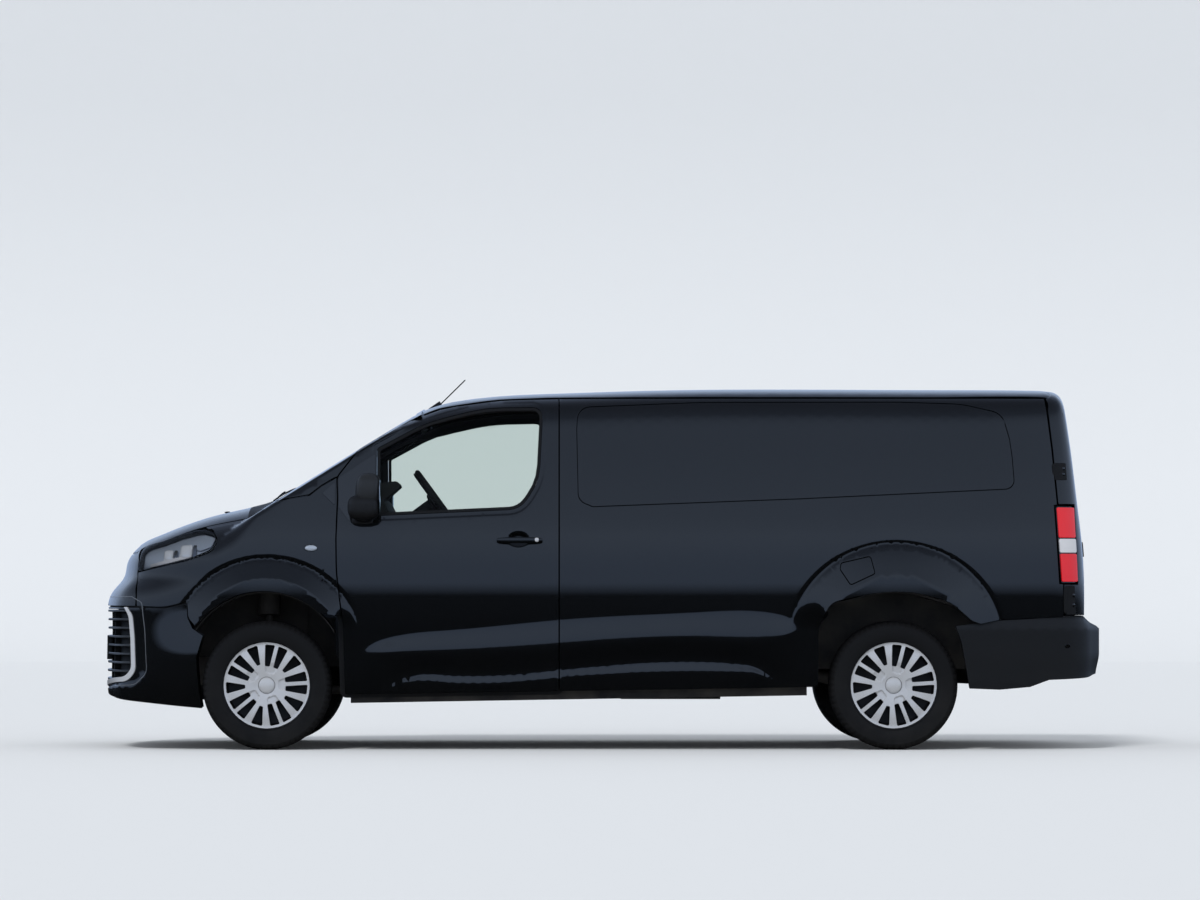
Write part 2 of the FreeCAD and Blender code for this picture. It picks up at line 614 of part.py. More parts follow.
def arch_liner():
    """Left front arch liner: a curved shell over the steered wheel."""
    across = (-905.0, -LINER_IN_Y)
    liner = cylinder_y(ARCH_R - SEAT_GAP, FRONT_ARCH_X, ARCH_Z, *across).cut(
        cylinder_y(ARCH_R - LINER_T, FRONT_ARCH_X, ARCH_Z, *across))
    return liner.common(box(-2400, -1404 - SHUT, *across, LINER_LOW_Z, 900)).common(hull(LINER_EDGE))


def seat(x, y, width):
    """Seat with base, cushion, backrest and headrest as one solid."""
    cushion = prism_y(((x - 500, 700.0, 30.0), (x - 500, 790.0, 40.0), (x - 60, 760.0, 30.0),
                       (x - 20, 690.0, 20.0)), y - width / 2, y + width / 2)
    back = prism_y(((x - 110, 730.0, 20.0), (x - 20, 700.0, 20.0), (x + 60, 1360.0, 40.0),
                    (x - 20, 1370.0, 40.0)), y - width / 2, y + width / 2)
    base = box(x - 440, x - 60, y - width / 2 + 60, y + width / 2 - 60, CAB_FLOOR_Z + 30 + SEAT_GAP, 720)
    pieces = [cushion, back, base]
    places = (y,) if width < 700 else (y - width / 4, y + width / 4)
    for place in places:
        pieces.append(prism_y(((x - 10, 1400.0, 20.0), (x - 5, 1560.0, 30.0), (x + 70, 1560.0, 30.0),
                               (x + 65, 1400.0, 20.0)), place - 130, place + 130))
        pieces.append(box(x + 16, x + 40, place - 60, place + 60, 1330, 1420))
    return fused(pieces)


def dashboard(inset=0.0):
    """Instrument panel across the cab, with the hood over the dials."""
    body = prism_y(((FIREWALL_X + SEAT_GAP, 900.0), (FIREWALL_X + SEAT_GAP, COWL_Z + SEAT_GAP),
                    (-1640.0, COWL_Z + SEAT_GAP), (-1640.0, 1235.0, 60.0), (-1480.0, 1330.0, 90.0),
                    (-1180.0, 1345.0, 60.0), (-1130.0, 1250.0, 50.0), (-1190.0, 1060.0, 60.0),
                    (-1310.0, 900.0, 30.0)), -POST_Y + SEAT_GAP, POST_Y - SEAT_GAP, inset)
    hood = prism_y(((-1300.0, 1300.0), (-1260.0, 1395.0, 40.0), (-1085.0, 1412.0, 25.0),
                    (-1075.0, 1385.0), (-1170.0, 1300.0)), -600.0, -240.0, inset)
    console = box(-1320 + SEAT_GAP, -1160, -130, 130, CAB_FLOOR_Z + 30 + SEAT_GAP, 1000)
    return fused([body, hood, console]).common(hull(WALL + 8)).removeSplitter()


def steering_wheel():
    """Rim, spokes, boss and column of the steering wheel."""
    ring = Part.Face(Part.makePolygon([vec(182 + 15 * math.cos(math.radians(a)), 0,
                                           15 * math.sin(math.radians(a)))
                                       for a in range(30, 451, 60)])).revolve(
        vec(0, 0, 0), vec(0, 0, 1), 360)
    boss = Part.makeCylinder(62, 46, vec(0, 0, -40), vec(0, 0, 1))
    spokes = [Part.makeBox(364, 40, 16, vec(-182, -20, -30)), Part.makeBox(40, 182, 16, vec(-20, -182, -30))]
    column = Part.makeCylinder(34, COLUMN_L, vec(0, 0, -40 - COLUMN_L), vec(0, 0, 1))
    wheel = fused([ring, boss, column] + spokes)
    wheel.rotate(vec(0, 0, 0), vec(0, 1, 0), WHEEL_TILT)
    wheel.translate(vec(-881, -420, 1312))
    return largest(wheel.cut(dashboard(-SEAT_GAP)))


def screen_z(x, y, lift):
    """Height of a point lifted off the windscreen's outer face."""
    slope = (SCREEN_TOP_Z + 12 - SCREEN_BASE_Z) / (SCREEN_TOP_X - SCREEN_BASE_X)
    return SCREEN_BASE_Z + (x - SCREEN_BASE_X) * slope - SCREEN_DROP * (y / 800.0) ** 2 + lift


def wipers():
    """Two wiper arms with blades along the foot of the windscreen."""
    pieces = []
    for y in (-590.0, 60.0):
        heel = vec(-1798, y, screen_z(-1798, y, 24))
        middle = vec(-1722, y + 320, screen_z(-1722, y + 320, 22))
        boss = rod(vec(-1798, y, COWL_Z + SEAT_GAP), heel + vec(0, 0, 8), 9)
        arm = rod(heel, middle, 6)
        ends = [vec(x, y + u, screen_z(x, y + u, 17)) for x, u in ((-1732, 30), (-1714, 600))]
        pieces.append(fused([boss, arm, rod(ends[0], ends[1], 7)]))
    return Part.makeCompound(pieces)


def grille():
    """Mouth frame with nine slats that follow the curve of the nose."""
    ring = hull(4.0).cut(hull(GRILLE_DEEP)).common(prism_x(front_outline(GRILLE), -2700, -2300)).cut(
        prism_x(front_outline(GRILLE, 26.0), -2700, -2300))
    slats = []
    sheet = hull(0.0).cut(hull(34.0)).common(prism_x(front_outline(GRILLE, 24.0), -2700, -2300))
    for k in range(9):
        z = 682.0 - 44.0 * k
        slats.append(sheet.common(box(-2700, -2300, -700, 700, z - 22, z + 2)))
    back = hull(50.0).cut(hull(60.0)).common(prism_x(front_outline(GRILLE, 24.0), -2700, -2300))
    return fused([ring, back] + slats)


def front_outline(half, inset=0.0):
    """Closed front view outline from a half table, with square-set sides moved in by inset."""
    right = [(half[0][0] - inset, half[0][1] + inset, half[0][2]),
             (half[1][0] - inset, half[1][1] - inset, half[1][2])]
    return right + [(-p[0],) + tuple(p[1:]) for p in reversed(right)]


def rear_bumper():
    """Wrap-round rear bumper with a step on top."""
    outer = prism_z(both(REAR_BUMPER_PLAN), 322, 682)
    inner = prism_z(both(REAR_BUMPER_PLAN), 322, 682, REAR_BUMPER_T).fuse(
        [box(1900, 2200, -930 + REAR_BUMPER_T, 930 - REAR_BUMPER_T, 322, 682),
         box(1900, 2085, -906, 906, 322, 682)])
    side_view = ((1880.0, 635.0, 30.0), (2050.0, 664.0, 300.0), (2500.0, 680.0, 60.0),
                 (LENGTH / 2, 640.0, 80.0), (LENGTH / 2, 440.0, 80.0), (2560.0, 365.0, 80.0),
                 (2300.0, 330.0, 60.0), (1900.0, 325.0))
    shell = outer.cut(inner).common(prism_y(side_view, -WIDTH, WIDTH))
    step = prism_z(both(REAR_BUMPER_PLAN), 640, 676, 4.0).cut(box(0, 2420, -WIDTH, WIDTH, 600, 700)).common(
        prism_y(side_view, -WIDTH, WIDTH))
    return fused([shell, step])


def cab_frame(shell):
    """Pillars, windscreen frame, cowl trough and door posts, both sides."""
    frame = prism_y(CAB_FRAME, -WIDTH, WIDTH, SHUT / 2)
    for y0, y1 in ((-WIDTH, -790.0), (790.0, WIDTH)):
        frame = frame.cut(prism_y(WING, y0, y1, -SHUT / 2))
    frame = frame.fuse(screen_zone(PILLAR_W).common(box(-3000, -955 - SHUT / 2, -WIDTH, WIDTH, 0, 3000)))
    frame = shell.common(frame).cut(screen_zone(0.0))
    frame = frame.cut(box(-1900, TROUGH_X, -WIDTH, WIDTH, COWL_Z, 1500))
    pieces = [largest(frame)]
    cowl = box(BONNET_EDGE_X + 8, TROUGH_X + 20, -782, 782, COWL_Z - 30, COWL_Z)
    riser = box(TROUGH_X, SCREEN[0][0] - SEAT_GAP, -782, 782, COWL_Z - 30, 1300).common(hull(4.0))
    well = front_arch(-WIDTH, WIDTH)
    firewall = box(-1560, FIREWALL_X, -830, 830, 690, COWL_Z - 20).cut(well)
    shelf = box(-1800, FIREWALL_X, -830, 830, COWL_Z - 40, COWL_Z - 10)
    foot = box(-1560, -1355, -POST_Y, POST_Y, 690, 720).cut(well)
    pieces += [cowl, riser, firewall, shelf, foot]
    for side in (-1, 1):
        wall = box(APRON_END_X, -1403, *sorted((side * 930, side * POST_Y)), APRON_Z, 1180)
        pieces.append(wall.common(hull(WALL + SEAT_GAP)))
        post = box(-1404, FRONT_HINGE_X + 9, *sorted((side * POST_OUT_Y, side * POST_Y)),
                   CAB_FLOOR_Z + 30 + SEAT_GAP, 1180)
        pieces.append(post.cut(cylinder_y(STEER_CLEAR_R, FRONT_AXLE_X, TYRE_R, -WIDTH, WIDTH)))
        lug = box(BONNET_AXIS_X - 12, BONNET_AXIS_X + 12,
                  *sorted((side * (BONNET_AXIS_Y + 9), side * (BONNET_AXIS_Y - 9))),
                  COWL_Z - 30, BONNET_AXIS_Z)
        base = box(BONNET_AXIS_X - 12, BONNET_EDGE_X + 20,
                   *sorted((side * (BONNET_AXIS_Y + 9), side * (BONNET_AXIS_Y - 9))),
                   COWL_Z - 30, COWL_Z - 4)
        pieces += [lug, base, cylinder_y(5.0, BONNET_AXIS_X, BONNET_AXIS_Z,
                                         *sorted((side * (BONNET_AXIS_Y + 24), side * (BONNET_AXIS_Y - 24))))]
    frame = fused(pieces + [mirrored(a) for a in hinge_arms()] + hinge_arms())
    return largest(frame)


def bonnet():
    """Crowned bonnet with two hinge pockets under its rear edge."""
    lid = hull(0.0).cut(hull(BONNET_T)).common(prism_z(both(BONNET), 985, 1400, SHUT / 2))
    pieces = [largest(lid)]
    for side in (-1, 1):
        y = side * BONNET_AXIS_Y
        pieces.append(box(BONNET_AXIS_X - 20, BONNET_AXIS_X + 20, y - 36, y + 36,
                          BONNET_AXIS_Z - 12, 1300).common(hull(8.0)))
    lid = fused(pieces)
    for side in (-1, 1):
        y = side * BONNET_AXIS_Y
        lid = lid.cut(box(BONNET_AXIS_X - 22, BONNET_AXIS_X + 60, y - 15, y + 15, 1000,
                          BONNET_AXIS_Z + 16))
        lid = lid.cut(cylinder_y(5.0 + PIN_FIT, BONNET_AXIS_X, BONNET_AXIS_Z, y - 24.5, y + 24.5))
    return largest(lid)


def side_panel(shell, sliding):
    """Load side panel; the right one has the sliding door's opening."""
    panel = skin(shell, SIDE_PANEL).cut(rear_arch(-WIDTH, 0))
    panel = panel.cut(prism_y(TAIL_LAMP, -WIDTH, -700.0))
    if sliding:
        panel = panel.cut(prism_y(SLIDING_DOOR, -WIDTH, 0, -SHUT / 2))
    return largest(panel)


def front_shell(shell):
    """Wing, bumper, nose panel and lamps are cut from this: the nose without bonnet and mouth."""
    nose = shell.common(box(-2700, -1300, -WIDTH, WIDTH, 200, 1700))
    nose = nose.cut(prism_z(both(BONNET), 985, 1400, SHUT / 2 - BONNET_GAP))
    return nose


def build():
    outer, inner = hull(), hull(WALL)
    shell = outer.cut(inner)
    nose = front_shell(shell)
    clear = steering_room(760.0)
    lamp = largest(skin(outer.cut(hull(95.0)).cut(prism_z(both(BONNET), 985, 1400, -SHUT / 2)),
                        HEADLAMP, SEAT_GAP).cut(box(-2700, -1000, -520, 520, 0, 2000)))
    wing = nose.common(prism_y(WING, -WIDTH, -690.0, SHUT / 2)).cut(front_arch(-WIDTH, 0))
    wing = wing.cut(clear).cut(prism_y(HEADLAMP, -WIDTH, -500.0))
    wing = wing.cut(prism_y(CAB_FRAME, -790.0, 0, -SHUT / 2)).cut(screen_zone(PILLAR_W + SHUT / 2))
    bumper = nose.common(prism_y(BUMPER, -WIDTH, WIDTH, SHUT / 2)).cut(front_arch(-WIDTH, WIDTH))
    bumper = bumper.cut(clear).cut(mirrored(clear))
    bumper = bumper.cut(prism_x(front_outline(GRILLE, -SEAT_GAP), -2700, -2300))
    panel = nose.common(prism_y(NOSE_PANEL, -WIDTH, WIDTH, SHUT / 2))
    for side in (-1, 1):
        panel = panel.cut(prism_y(HEADLAMP, *sorted((side * WIDTH, side * 500.0))))
    roof = shell.common(prism_y(ROOF, -WIDTH, WIDTH, SHUT / 2))
    screen = largest(hull(6.0).cut(hull(12.0)).common(prism_z(both(SCREEN), 1250, 2000, SEAT_GAP)))
    tail = largest(outer.cut(hull(48.0)).common(prism_y(TAIL_LAMP, -WIDTH, -792.0, SEAT_GAP)))
    right_panel = mirrored(side_panel(shell, True))
    slider = mirrored(largest(skin(shell, SLIDING_DOOR)))
    nodes = {
        "floor_pan": floor_pan(),
        "wheel_houses": both_sides(largest(wheel_house())),
        "arch_liners": both_sides(largest(arch_liner())),
        "side_panel_left": side_panel(shell, False),
        "side_panel_right": right_panel,
        "sliding_door": slider,
        "roof_panel": roof_holes(largest(roof)),
        "cab_frame": cab_frame(shell),
        "front_wings": both_sides(largest(wing)),
        "front_bumper": largest(bumper),
        "nose_panel": largest(panel),
        "grille": grille(),
        "rear_bumper": rear_bumper(),
        "windscreen": screen,
        "headlamps": both_sides(lamp),
        "tail_lamps": both_sides(tail),
        "rear_hinge_roots": both_sides(fused(rear_hinge_roots()).cut(hull(-SEAT_GAP))),
        "bonnet": bonnet(),
        "bulkhead": box(CAB_BACK_X + 45, CAB_BACK_X + 60, -890, 890, FLOOR_Z + FLOOR_T + SEAT_GAP,
                        1900).common(hull(WALL + SEAT_GAP)),
        "driver_seat": seat(-300.0, -430.0, 500.0),
        "passenger_seat": seat(-300.0, 330.0, 880.0),
        "dashboard": dashboard(),
        "steering_wheel": steering_wheel(),
        "engine_block": box(-2290, -1960, -380, 380, 330, 900),
        "radiator": box(-2440, -2380, -370, 370, 320, 860),
        "front_subframe": front_subframe(),
        "front_structure": front_structure(),
        "rear_axle": rear_axle(),
        "fuel_tank": box(-60, 700, -560, -60, 330, FLOOR_Z - SEAT_GAP),
        "exhaust": exhaust(),
        "wipers": wipers(),
        "aerial": aerial(),
    }
    door, glass = front_door(shell), pane(DOOR_WINDOW)
    back = rear_door(shell)
    for name, turn in (("left", lambda shape: shape), ("right", mirrored)):
        nodes["front_door_" + name] = turn(door)
        nodes["front_door_glass_" + name] = turn(glass)
        nodes["mirror_" + name] = turn(mirror())
        nodes["door_handle_" + name] = turn(handle())
        nodes["rear_door_" + name] = turn(back)
        nodes["knuckle_" + name] = turn(knuckle())
        for row, x, track in (("front", FRONT_AXLE_X, TRACK_FRONT), ("rear", REAR_AXLE_X, TRACK_REAR)):
            nodes["tyre_" + row + "_" + name] = turn(tyre(x, -track / 2))
            nodes["wheel_" + row + "_" + name] = turn(rim(x, -track / 2))
    return nodes


def roof_holes(roof):
    """Four fixing holes for a roof rack."""
    for x in (ROOF_BAR_X, ROOF_BAR_X + ROOF_BAR_PITCH):
        for y in (-ROOF_BAR_Y, ROOF_BAR_Y):
            roof = roof.cut(cylinder_z(ROOF_HOLE_R, x, y, 1700, 2000))
    return roof


def exhaust():
    """Pipe with a silencer, hung below the floor on the right."""
    pipe = [rod(vec(-1480, 120, 300), vec(900, 120, 330), 28),
            rod(vec(900, 120, 330), vec(1130, 330, 400), 28)]
    silencer = rod(vec(100, 120, 330), vec(640, 120, 330), 85)
    return fused(pipe + [silencer, box(330, 390, 100, 140, 400, FLOOR_Z - SEAT_GAP)])


def aerial():
    """Roof aerial: foot, base and sloping rod."""
    mast = rod(vec(-905, 0, 1812), vec(-742, 0, 1972), 3.2)
    foot = rod(vec(-945, 0, 1795), vec(-872, 0, 1845), 16).cut(hull(-SEAT_GAP))
    return fused([mast, foot]).cut(hull(-SEAT_GAP))


if __name__ == "__main__":
    os.makedirs("parts", exist_ok=True)
    for node, shape in build().items():
        if not shape.isValid() or not shape.Solids:
            print("fault in", node, shape.isValid(), len(shape.Solids))
        shape.exportStep("parts/" + node + ".step")
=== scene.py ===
"""Looks of the panel van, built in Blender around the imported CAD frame."""

from __future__ import annotations

import json
import logging
import math
from dataclasses import dataclass
from enum import Enum
from typing import Callable, Sequence

import bpy
import numpy as np
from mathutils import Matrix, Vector
from mathutils.geometry import delaunay_2d_cdt

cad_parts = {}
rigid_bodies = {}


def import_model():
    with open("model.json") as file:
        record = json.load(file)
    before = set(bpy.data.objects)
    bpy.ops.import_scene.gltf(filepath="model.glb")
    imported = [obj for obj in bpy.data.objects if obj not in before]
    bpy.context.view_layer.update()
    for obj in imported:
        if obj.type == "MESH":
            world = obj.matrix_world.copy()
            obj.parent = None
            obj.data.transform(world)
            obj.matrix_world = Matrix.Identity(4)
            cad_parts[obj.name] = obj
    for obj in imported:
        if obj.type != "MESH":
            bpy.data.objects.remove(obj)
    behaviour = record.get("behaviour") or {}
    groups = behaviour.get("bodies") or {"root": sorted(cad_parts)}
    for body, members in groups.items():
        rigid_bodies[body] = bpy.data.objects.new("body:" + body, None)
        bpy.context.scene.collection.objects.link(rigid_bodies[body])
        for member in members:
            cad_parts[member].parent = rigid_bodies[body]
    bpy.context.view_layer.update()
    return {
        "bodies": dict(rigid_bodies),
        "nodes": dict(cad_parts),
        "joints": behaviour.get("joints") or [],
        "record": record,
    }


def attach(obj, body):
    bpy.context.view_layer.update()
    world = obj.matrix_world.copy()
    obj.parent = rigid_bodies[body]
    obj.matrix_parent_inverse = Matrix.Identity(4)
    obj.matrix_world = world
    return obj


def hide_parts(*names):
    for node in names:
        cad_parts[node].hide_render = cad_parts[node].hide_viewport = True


log = logging.getLogger("panel_van")

MM = 0.001

# Driving dimensions of the body, in millimetres: x towards the tail, y to the right, z up.
TAIL_X = 2568.0
FRONT_AXLE_X = -1762.5
REAR_AXLE_X = 1512.5
TYRE_R = 337.0
TRACK = {"front": 1627.0, "rear": 1600.0}
PANEL_DEPTH = 46.0
SHUT = 6.5
DOOR_REAR_X = -235.0
RAIL_Z = 1842.0
SCREEN_BASE = (-1784.0, 1300.0)
SCREEN_TOP = (-959.0, 1808.0)

Array = np.ndarray
Point = tuple[float, ...]
Corners = Sequence[Point]
Colour = tuple[float, float, float, float]


class Curve:
    """A smooth curve of one value over another, through a few knots."""

    def __init__(self, knots: Sequence[tuple[float, float]]) -> None:
        """Fits a natural cubic spline.

        Args:
            knots: Pairs of place and value, the places in rising order.
        """
        t, v = np.array(knots, float).T
        n = len(t)
        h = np.diff(t)
        system = np.eye(n)
        rhs = np.zeros(n)
        for i in range(1, n - 1):
            system[i, i - 1 : i + 2] = h[i - 1], 2 * (h[i - 1] + h[i]), h[i]
            rhs[i] = 6 * ((v[i + 1] - v[i]) / h[i] - (v[i] - v[i - 1]) / h[i - 1])
        self.t, self.v, self.h = t, v, h
        self.m = np.linalg.solve(system, rhs)

    def __call__(self, at: Array) -> Array:
        """Values at given places, carried straight on past both ends.

        Args:
            at: Places.

        Returns:
            The values there.
        """
        at = np.asarray(at, float)
        t, v, m, h = self.t, self.v, self.m, self.h
        inside = np.clip(at, t[0], t[-1])
        i = np.clip(np.searchsorted(t, inside) - 1, 0, len(h) - 1)
        a, b = t[i + 1] - inside, inside - t[i]
        value = (
            (m[i] * a**3 + m[i + 1] * b**3) / (6 * h[i])
            + (v[i] / h[i] - m[i] * h[i] / 6) * a
            + (v[i + 1] / h[i] - m[i + 1] * h[i] / 6) * b
        )
        first = (v[1] - v[0]) / h[0] - h[0] * m[1] / 6
        last = (v[-1] - v[-2]) / h[-1] + h[-1] * m[-2] / 6
        return value + first * np.minimum(at - t[0], 0) + last * np.maximum(at - t[-1], 0)


def smooth_max(a: Array, b: Array, k: float) -> Array:
    """The larger of two fields, rounded over a width k where they meet."""
    blend = np.maximum(k - np.abs(a - b), 0) / k
    return np.maximum(a, b) + blend**3 * k / 6


def ease(t: Array) -> Array:
    """Smooth step from 0 to 1 over a share t."""
    t = np.clip(t, 0, 1)
    return t * t * (3 - 2 * t)


class Outline:
    """A closed flat outline with rounded corners."""

    def __init__(self, corners: Sequence[Point], step: float = 24.0) -> None:
        """Samples the outline.

        Args:
            corners: Points (u, v) or (u, v, radius of the corner).
            step: Longest distance between two sampled points.
        """
        points: list[tuple[float, float]] = []
        count = len(corners)
        for i, corner in enumerate(corners):
            here = np.array(corner[:2], float)
            if len(corner) < 3:
                points.append(tuple(here))
                continue
            before = np.array(corners[i - 1][:2], float)
            after = np.array(corners[(i + 1) % count][:2], float)
            u = (before - here) / np.linalg.norm(before - here)
            v = (after - here) / np.linalg.norm(after - here)
            half = math.acos(float(np.clip(u @ v, -1, 1))) / 2
            middle = (u + v) / np.linalg.norm(u + v)
            centre = here + middle * corner[2] / math.sin(half)
            start = here + u * corner[2] / math.tan(half) - centre
            sweep = math.pi - 2 * half
            sign = math.copysign(1.0, u[0] * v[1] - u[1] * v[0])
            parts = max(2, int(math.ceil(sweep / 0.26)))
            for k in range(parts + 1):
                a = -sign * sweep * k / parts
                c, s = math.cos(a), math.sin(a)
                points.append((centre[0] + start[0] * c - start[1] * s, centre[1] + start[0] * s + start[1] * c))
        self.points = self._spaced(np.array(points), step)
        x, y = self.points.T
        if np.sum(x * np.roll(y, -1) - np.roll(x, -1) * y) < 0:
            self.points = self.points[::-1].copy()

    @staticmethod
    def _spaced(points: Array, step: float) -> Array:
        """Splits long edges and drops doubled points."""
        rows = []
        for a, b in zip(points, np.roll(points, -1, axis=0)):
            length = float(np.linalg.norm(b - a))
            if length < 0.05:
                continue
            parts = max(1, int(math.ceil(length / step)))
            rows += [a + (b - a) * k / parts for k in range(parts)]
        return np.array(rows)

    def distance(self, u: Array, v: Array) -> Array:
        """Signed distance to the outline, positive inside.

        Args:
            u: First coordinates.
            v: Second coordinates.

        Returns:
            The distances.
        """
        p = np.stack([np.ravel(u), np.ravel(v)], axis=1)
        best = np.full(len(p), 1e9)
        for a, b in zip(self.points, np.roll(self.points, -1, axis=0)):
            edge = b - a
            share = np.clip(((p - a) @ edge) / (edge @ edge), 0, 1)
            gap = p - a - share[:, None] * edge
            best = np.minimum(best, np.einsum("ij,ij->i", gap, gap))
        return (np.sqrt(best) * np.where(inside_loop(p, self.points), 1, -1)).reshape(np.shape(u))

    def inset(self, amount: float) -> "Outline":
        """The same outline drawn in on every side.

        Args:
            amount: How far, in millimetres.

        Returns:
            The smaller outline.
        """
        made = Outline.__new__(Outline)
        ahead = np.roll(self.points, -1, axis=0) - self.points
        behind = self.points - np.roll(self.points, 1, axis=0)
        ahead /= np.linalg.norm(ahead, axis=1)[:, None]
        behind /= np.linalg.norm(behind, axis=1)[:, None]
        left = lambda d: np.stack([-d[:, 1], d[:, 0]], axis=1)
        middle = left(ahead) + left(behind)
        scale = np.maximum(np.einsum("ij,ij->i", middle, middle) / 2, 0.7)
        made.points = self.points + middle / scale[:, None] * amount
        return made


class BodySurface:
    """The van's outer surface as a field: negative inside, positive outside."""

    SECTION = Curve([(230, 924), (330, 938), (480, 948), (640, 956), (780, 959.5), (920, 959), (1040, 955),
         (1130, 946), (1250, 929), (1450, 897.5), (1650, 864), (1850, 831)])
    TAPER = Curve([(-2500, 125), (-2330, 84), (-2100, 53), (-1900, 31), (-1700, 13), (-1550, 3), (-1400, 0),
         (-1100, 0), (1900, 0), (2050, 1), (2150, 6), (2300, 26), (2418, 45)])
    NOSE = Curve([(0, -2665.5), (150, -2661), (300, -2647), (500, -2611), (600, -2584), (690, -2545),
         (780, -2468), (860, -2374)])
    NOSE_BACK = Curve([(230, 14), (300, 3), (450, 0), (700, 2), (790, 10), (835, 34), (869, 64), (892, 84),
         (916, 95), (993, 110), (1031, 130), (1074, 168)])
    BONNET = Curve([(-2600, 980), (-2549, 1012), (-2527, 1035), (-2489, 1077), (-2446, 1101), (-2374, 1128),
         (-2213, 1190), (-2052, 1240), (-1865, 1283), (-1784, 1304), (-1700, 1322)])
    ROOF = Curve([(-1000, 1795), (-820, 1837), (-700, 1856), (-552, 1871), (-230, 1886), (252, 1901),
         (1056, 1907), (1800, 1904), (2375, 1898), (2500, 1893)])
    ROOF_CROWN = Curve([(0, 0), (300, 2), (500, 9), (620, 22), (735, 47), (840, 86), (900, 112)])
    TAIL = Curve([(300, TAIL_X), (700, TAIL_X), (900, TAIL_X - 1), (1100, 2554), (1300, 2530), (1500, 2506),
         (1700, 2478), (1900, 2446)])
    TAIL_CROWN = Curve([(0, 0), (250, 4), (500, 20), (700, 40), (820, 66), (900, 110)])
    SCREEN_SLOPE = (SCREEN_TOP[1] - SCREEN_BASE[1]) / (SCREEN_TOP[0] - SCREEN_BASE[0])
    BONNET_CROWN = 93.0
    SCREEN_CROWN = 37.0
    CROWN_AT = 800.0

    def field(self, p: Array) -> Array:
        """Rough signed distance to the surface.

        Args:
            p: Points, one a row, in millimetres.

        Returns:
            Negative values inside the body.
        """
        x, y, z = p[:, 0], np.abs(p[:, 1]), p[:, 2]
        spread = (y / self.CROWN_AT) ** 2
        side = y - self.SECTION(z) + self.TAPER(x)
        nose = (self.NOSE(y) + self.NOSE_BACK(z) - x) / (1 + (np.minimum(y, 900) / 760) ** 4 * 0.6)
        tail = x - self.TAIL(z) + self.TAIL_CROWN(y)
        bonnet = (z - self.BONNET(x) + self.BONNET_CROWN * spread ** 2) * 0.95
        screen = (z - SCREEN_BASE[1] - (x - SCREEN_BASE[0]) * self.SCREEN_SLOPE
                  + self.SCREEN_CROWN * spread) * 0.85
        roof = z - self.ROOF(x) + self.ROOF_CROWN(y)
        lateral = smooth_max(smooth_max(side, nose, 150.0), tail, 130.0)
        top = smooth_max(np.minimum(bonnet, screen), roof, 70.0)
        cab = ease((x + 1950) / 150) * (1 - ease((x + 1000) / 200))
        return smooth_max(lateral, top, 120.0 - 96.0 * cab - 66.0 * ease((-2300 - x) / 160))

    def normal(self, p: Array) -> Array:
        """Outward unit normals.

        Args:
            p: Points, one a row.

        Returns:
            One normal a row.
        """
        n = np.zeros_like(p)
        for axis in range(3):
            step = np.zeros(3)
            step[axis] = 1.0
            n[:, axis] = self.field(p + step) - self.field(p - step)
        return n / np.linalg.norm(n, axis=1)[:, None]

    def hit(self, origin: Array, direction: Array, reach: float = 2600.0) -> Array:
        """Where rays from inside leave the body.

        Args:
            origin: Start points, one a row.
            direction: Unit directions, one a row.
            reach: Longest distance looked at.

        Returns:
            Points on the surface.
        """
        low = np.zeros(len(origin))
        high = np.full(len(origin), reach)
        for _ in range(26):
            middle = (low + high) / 2
            outside = self.field(origin + direction * middle[:, None]) > 0
            high = np.where(outside, middle, high)
            low = np.where(outside, low, middle)
        return origin + direction * ((low + high) / 2)[:, None]


class Chart(Enum):
    """Ways of laying a flat outline onto the body."""

    SIDE = "side"
    TOP = "top"
    NOSE = "nose"
    TAIL = "tail"

    def rays(self, uv: Array) -> tuple[Array, Array]:
        """Rays that carry flat points onto the body.

        Args:
            uv: Flat points, in millimetres: (x, z) for SIDE, (x, y) for TOP,
                (arc about the chart's centre, z) for NOSE and TAIL.

        Returns:
            Start points and directions.
        """
        u, v = uv.T
        zero, one = np.zeros(len(u)), np.ones(len(u))
        if self is Chart.SIDE:
            return np.stack([u, zero, v], 1), np.stack([zero, -one, zero], 1)
        if self is Chart.TOP:
            return np.stack([u, v, zero + 600], 1), np.stack([zero, zero, one], 1)
        sign = -1.0 if self is Chart.NOSE else 1.0
        angle = u / CHART_R
        start = np.stack([zero + sign * CHART_X, zero, v], 1)
        return start, np.stack([sign * np.cos(angle), np.sin(angle), zero], 1)


SIDE, TOP, NOSE, TAIL = Chart
CHART_X = 1850.0
CHART_R = 800.0


def chart_u(chart: Chart, x: float, y: float) -> float:
    """Arc coordinate of a plan point on the NOSE or TAIL chart."""
    sign = -1.0 if chart is NOSE else 1.0
    return CHART_R * math.atan2(y, sign * x - CHART_X)


@dataclass
class Shell:
    """Points, normals and faces of one built piece, with a material index a face."""

    points: Array
    normals: Array
    faces: list[tuple[int, ...]]
    slots: list[int]

    def mirrored(self) -> "Shell":
        """The same piece on the other side of the van."""
        flip = np.array([1.0, -1.0, 1.0])
        return Shell(self.points * flip, self.normals * flip, [f[::-1] for f in self.faces], list(self.slots))

    def joined(self, other: "Shell") -> "Shell":
        """Both pieces as one.

        Args:
            other: The piece to add.

        Returns:
            The joined piece.
        """
        base = len(self.points)
        moved = [tuple(i + base for i in f) for f in other.faces]
        return Shell(
            np.vstack([self.points, other.points]), np.vstack([self.normals, other.normals]),
            self.faces + moved, self.slots + other.slots,
        )


Relief = Callable[[Array, Array], Array]


def no_relief(u: Array, v: Array) -> Array:
    """Heights of a flat sheet."""
    return np.zeros(np.shape(u))


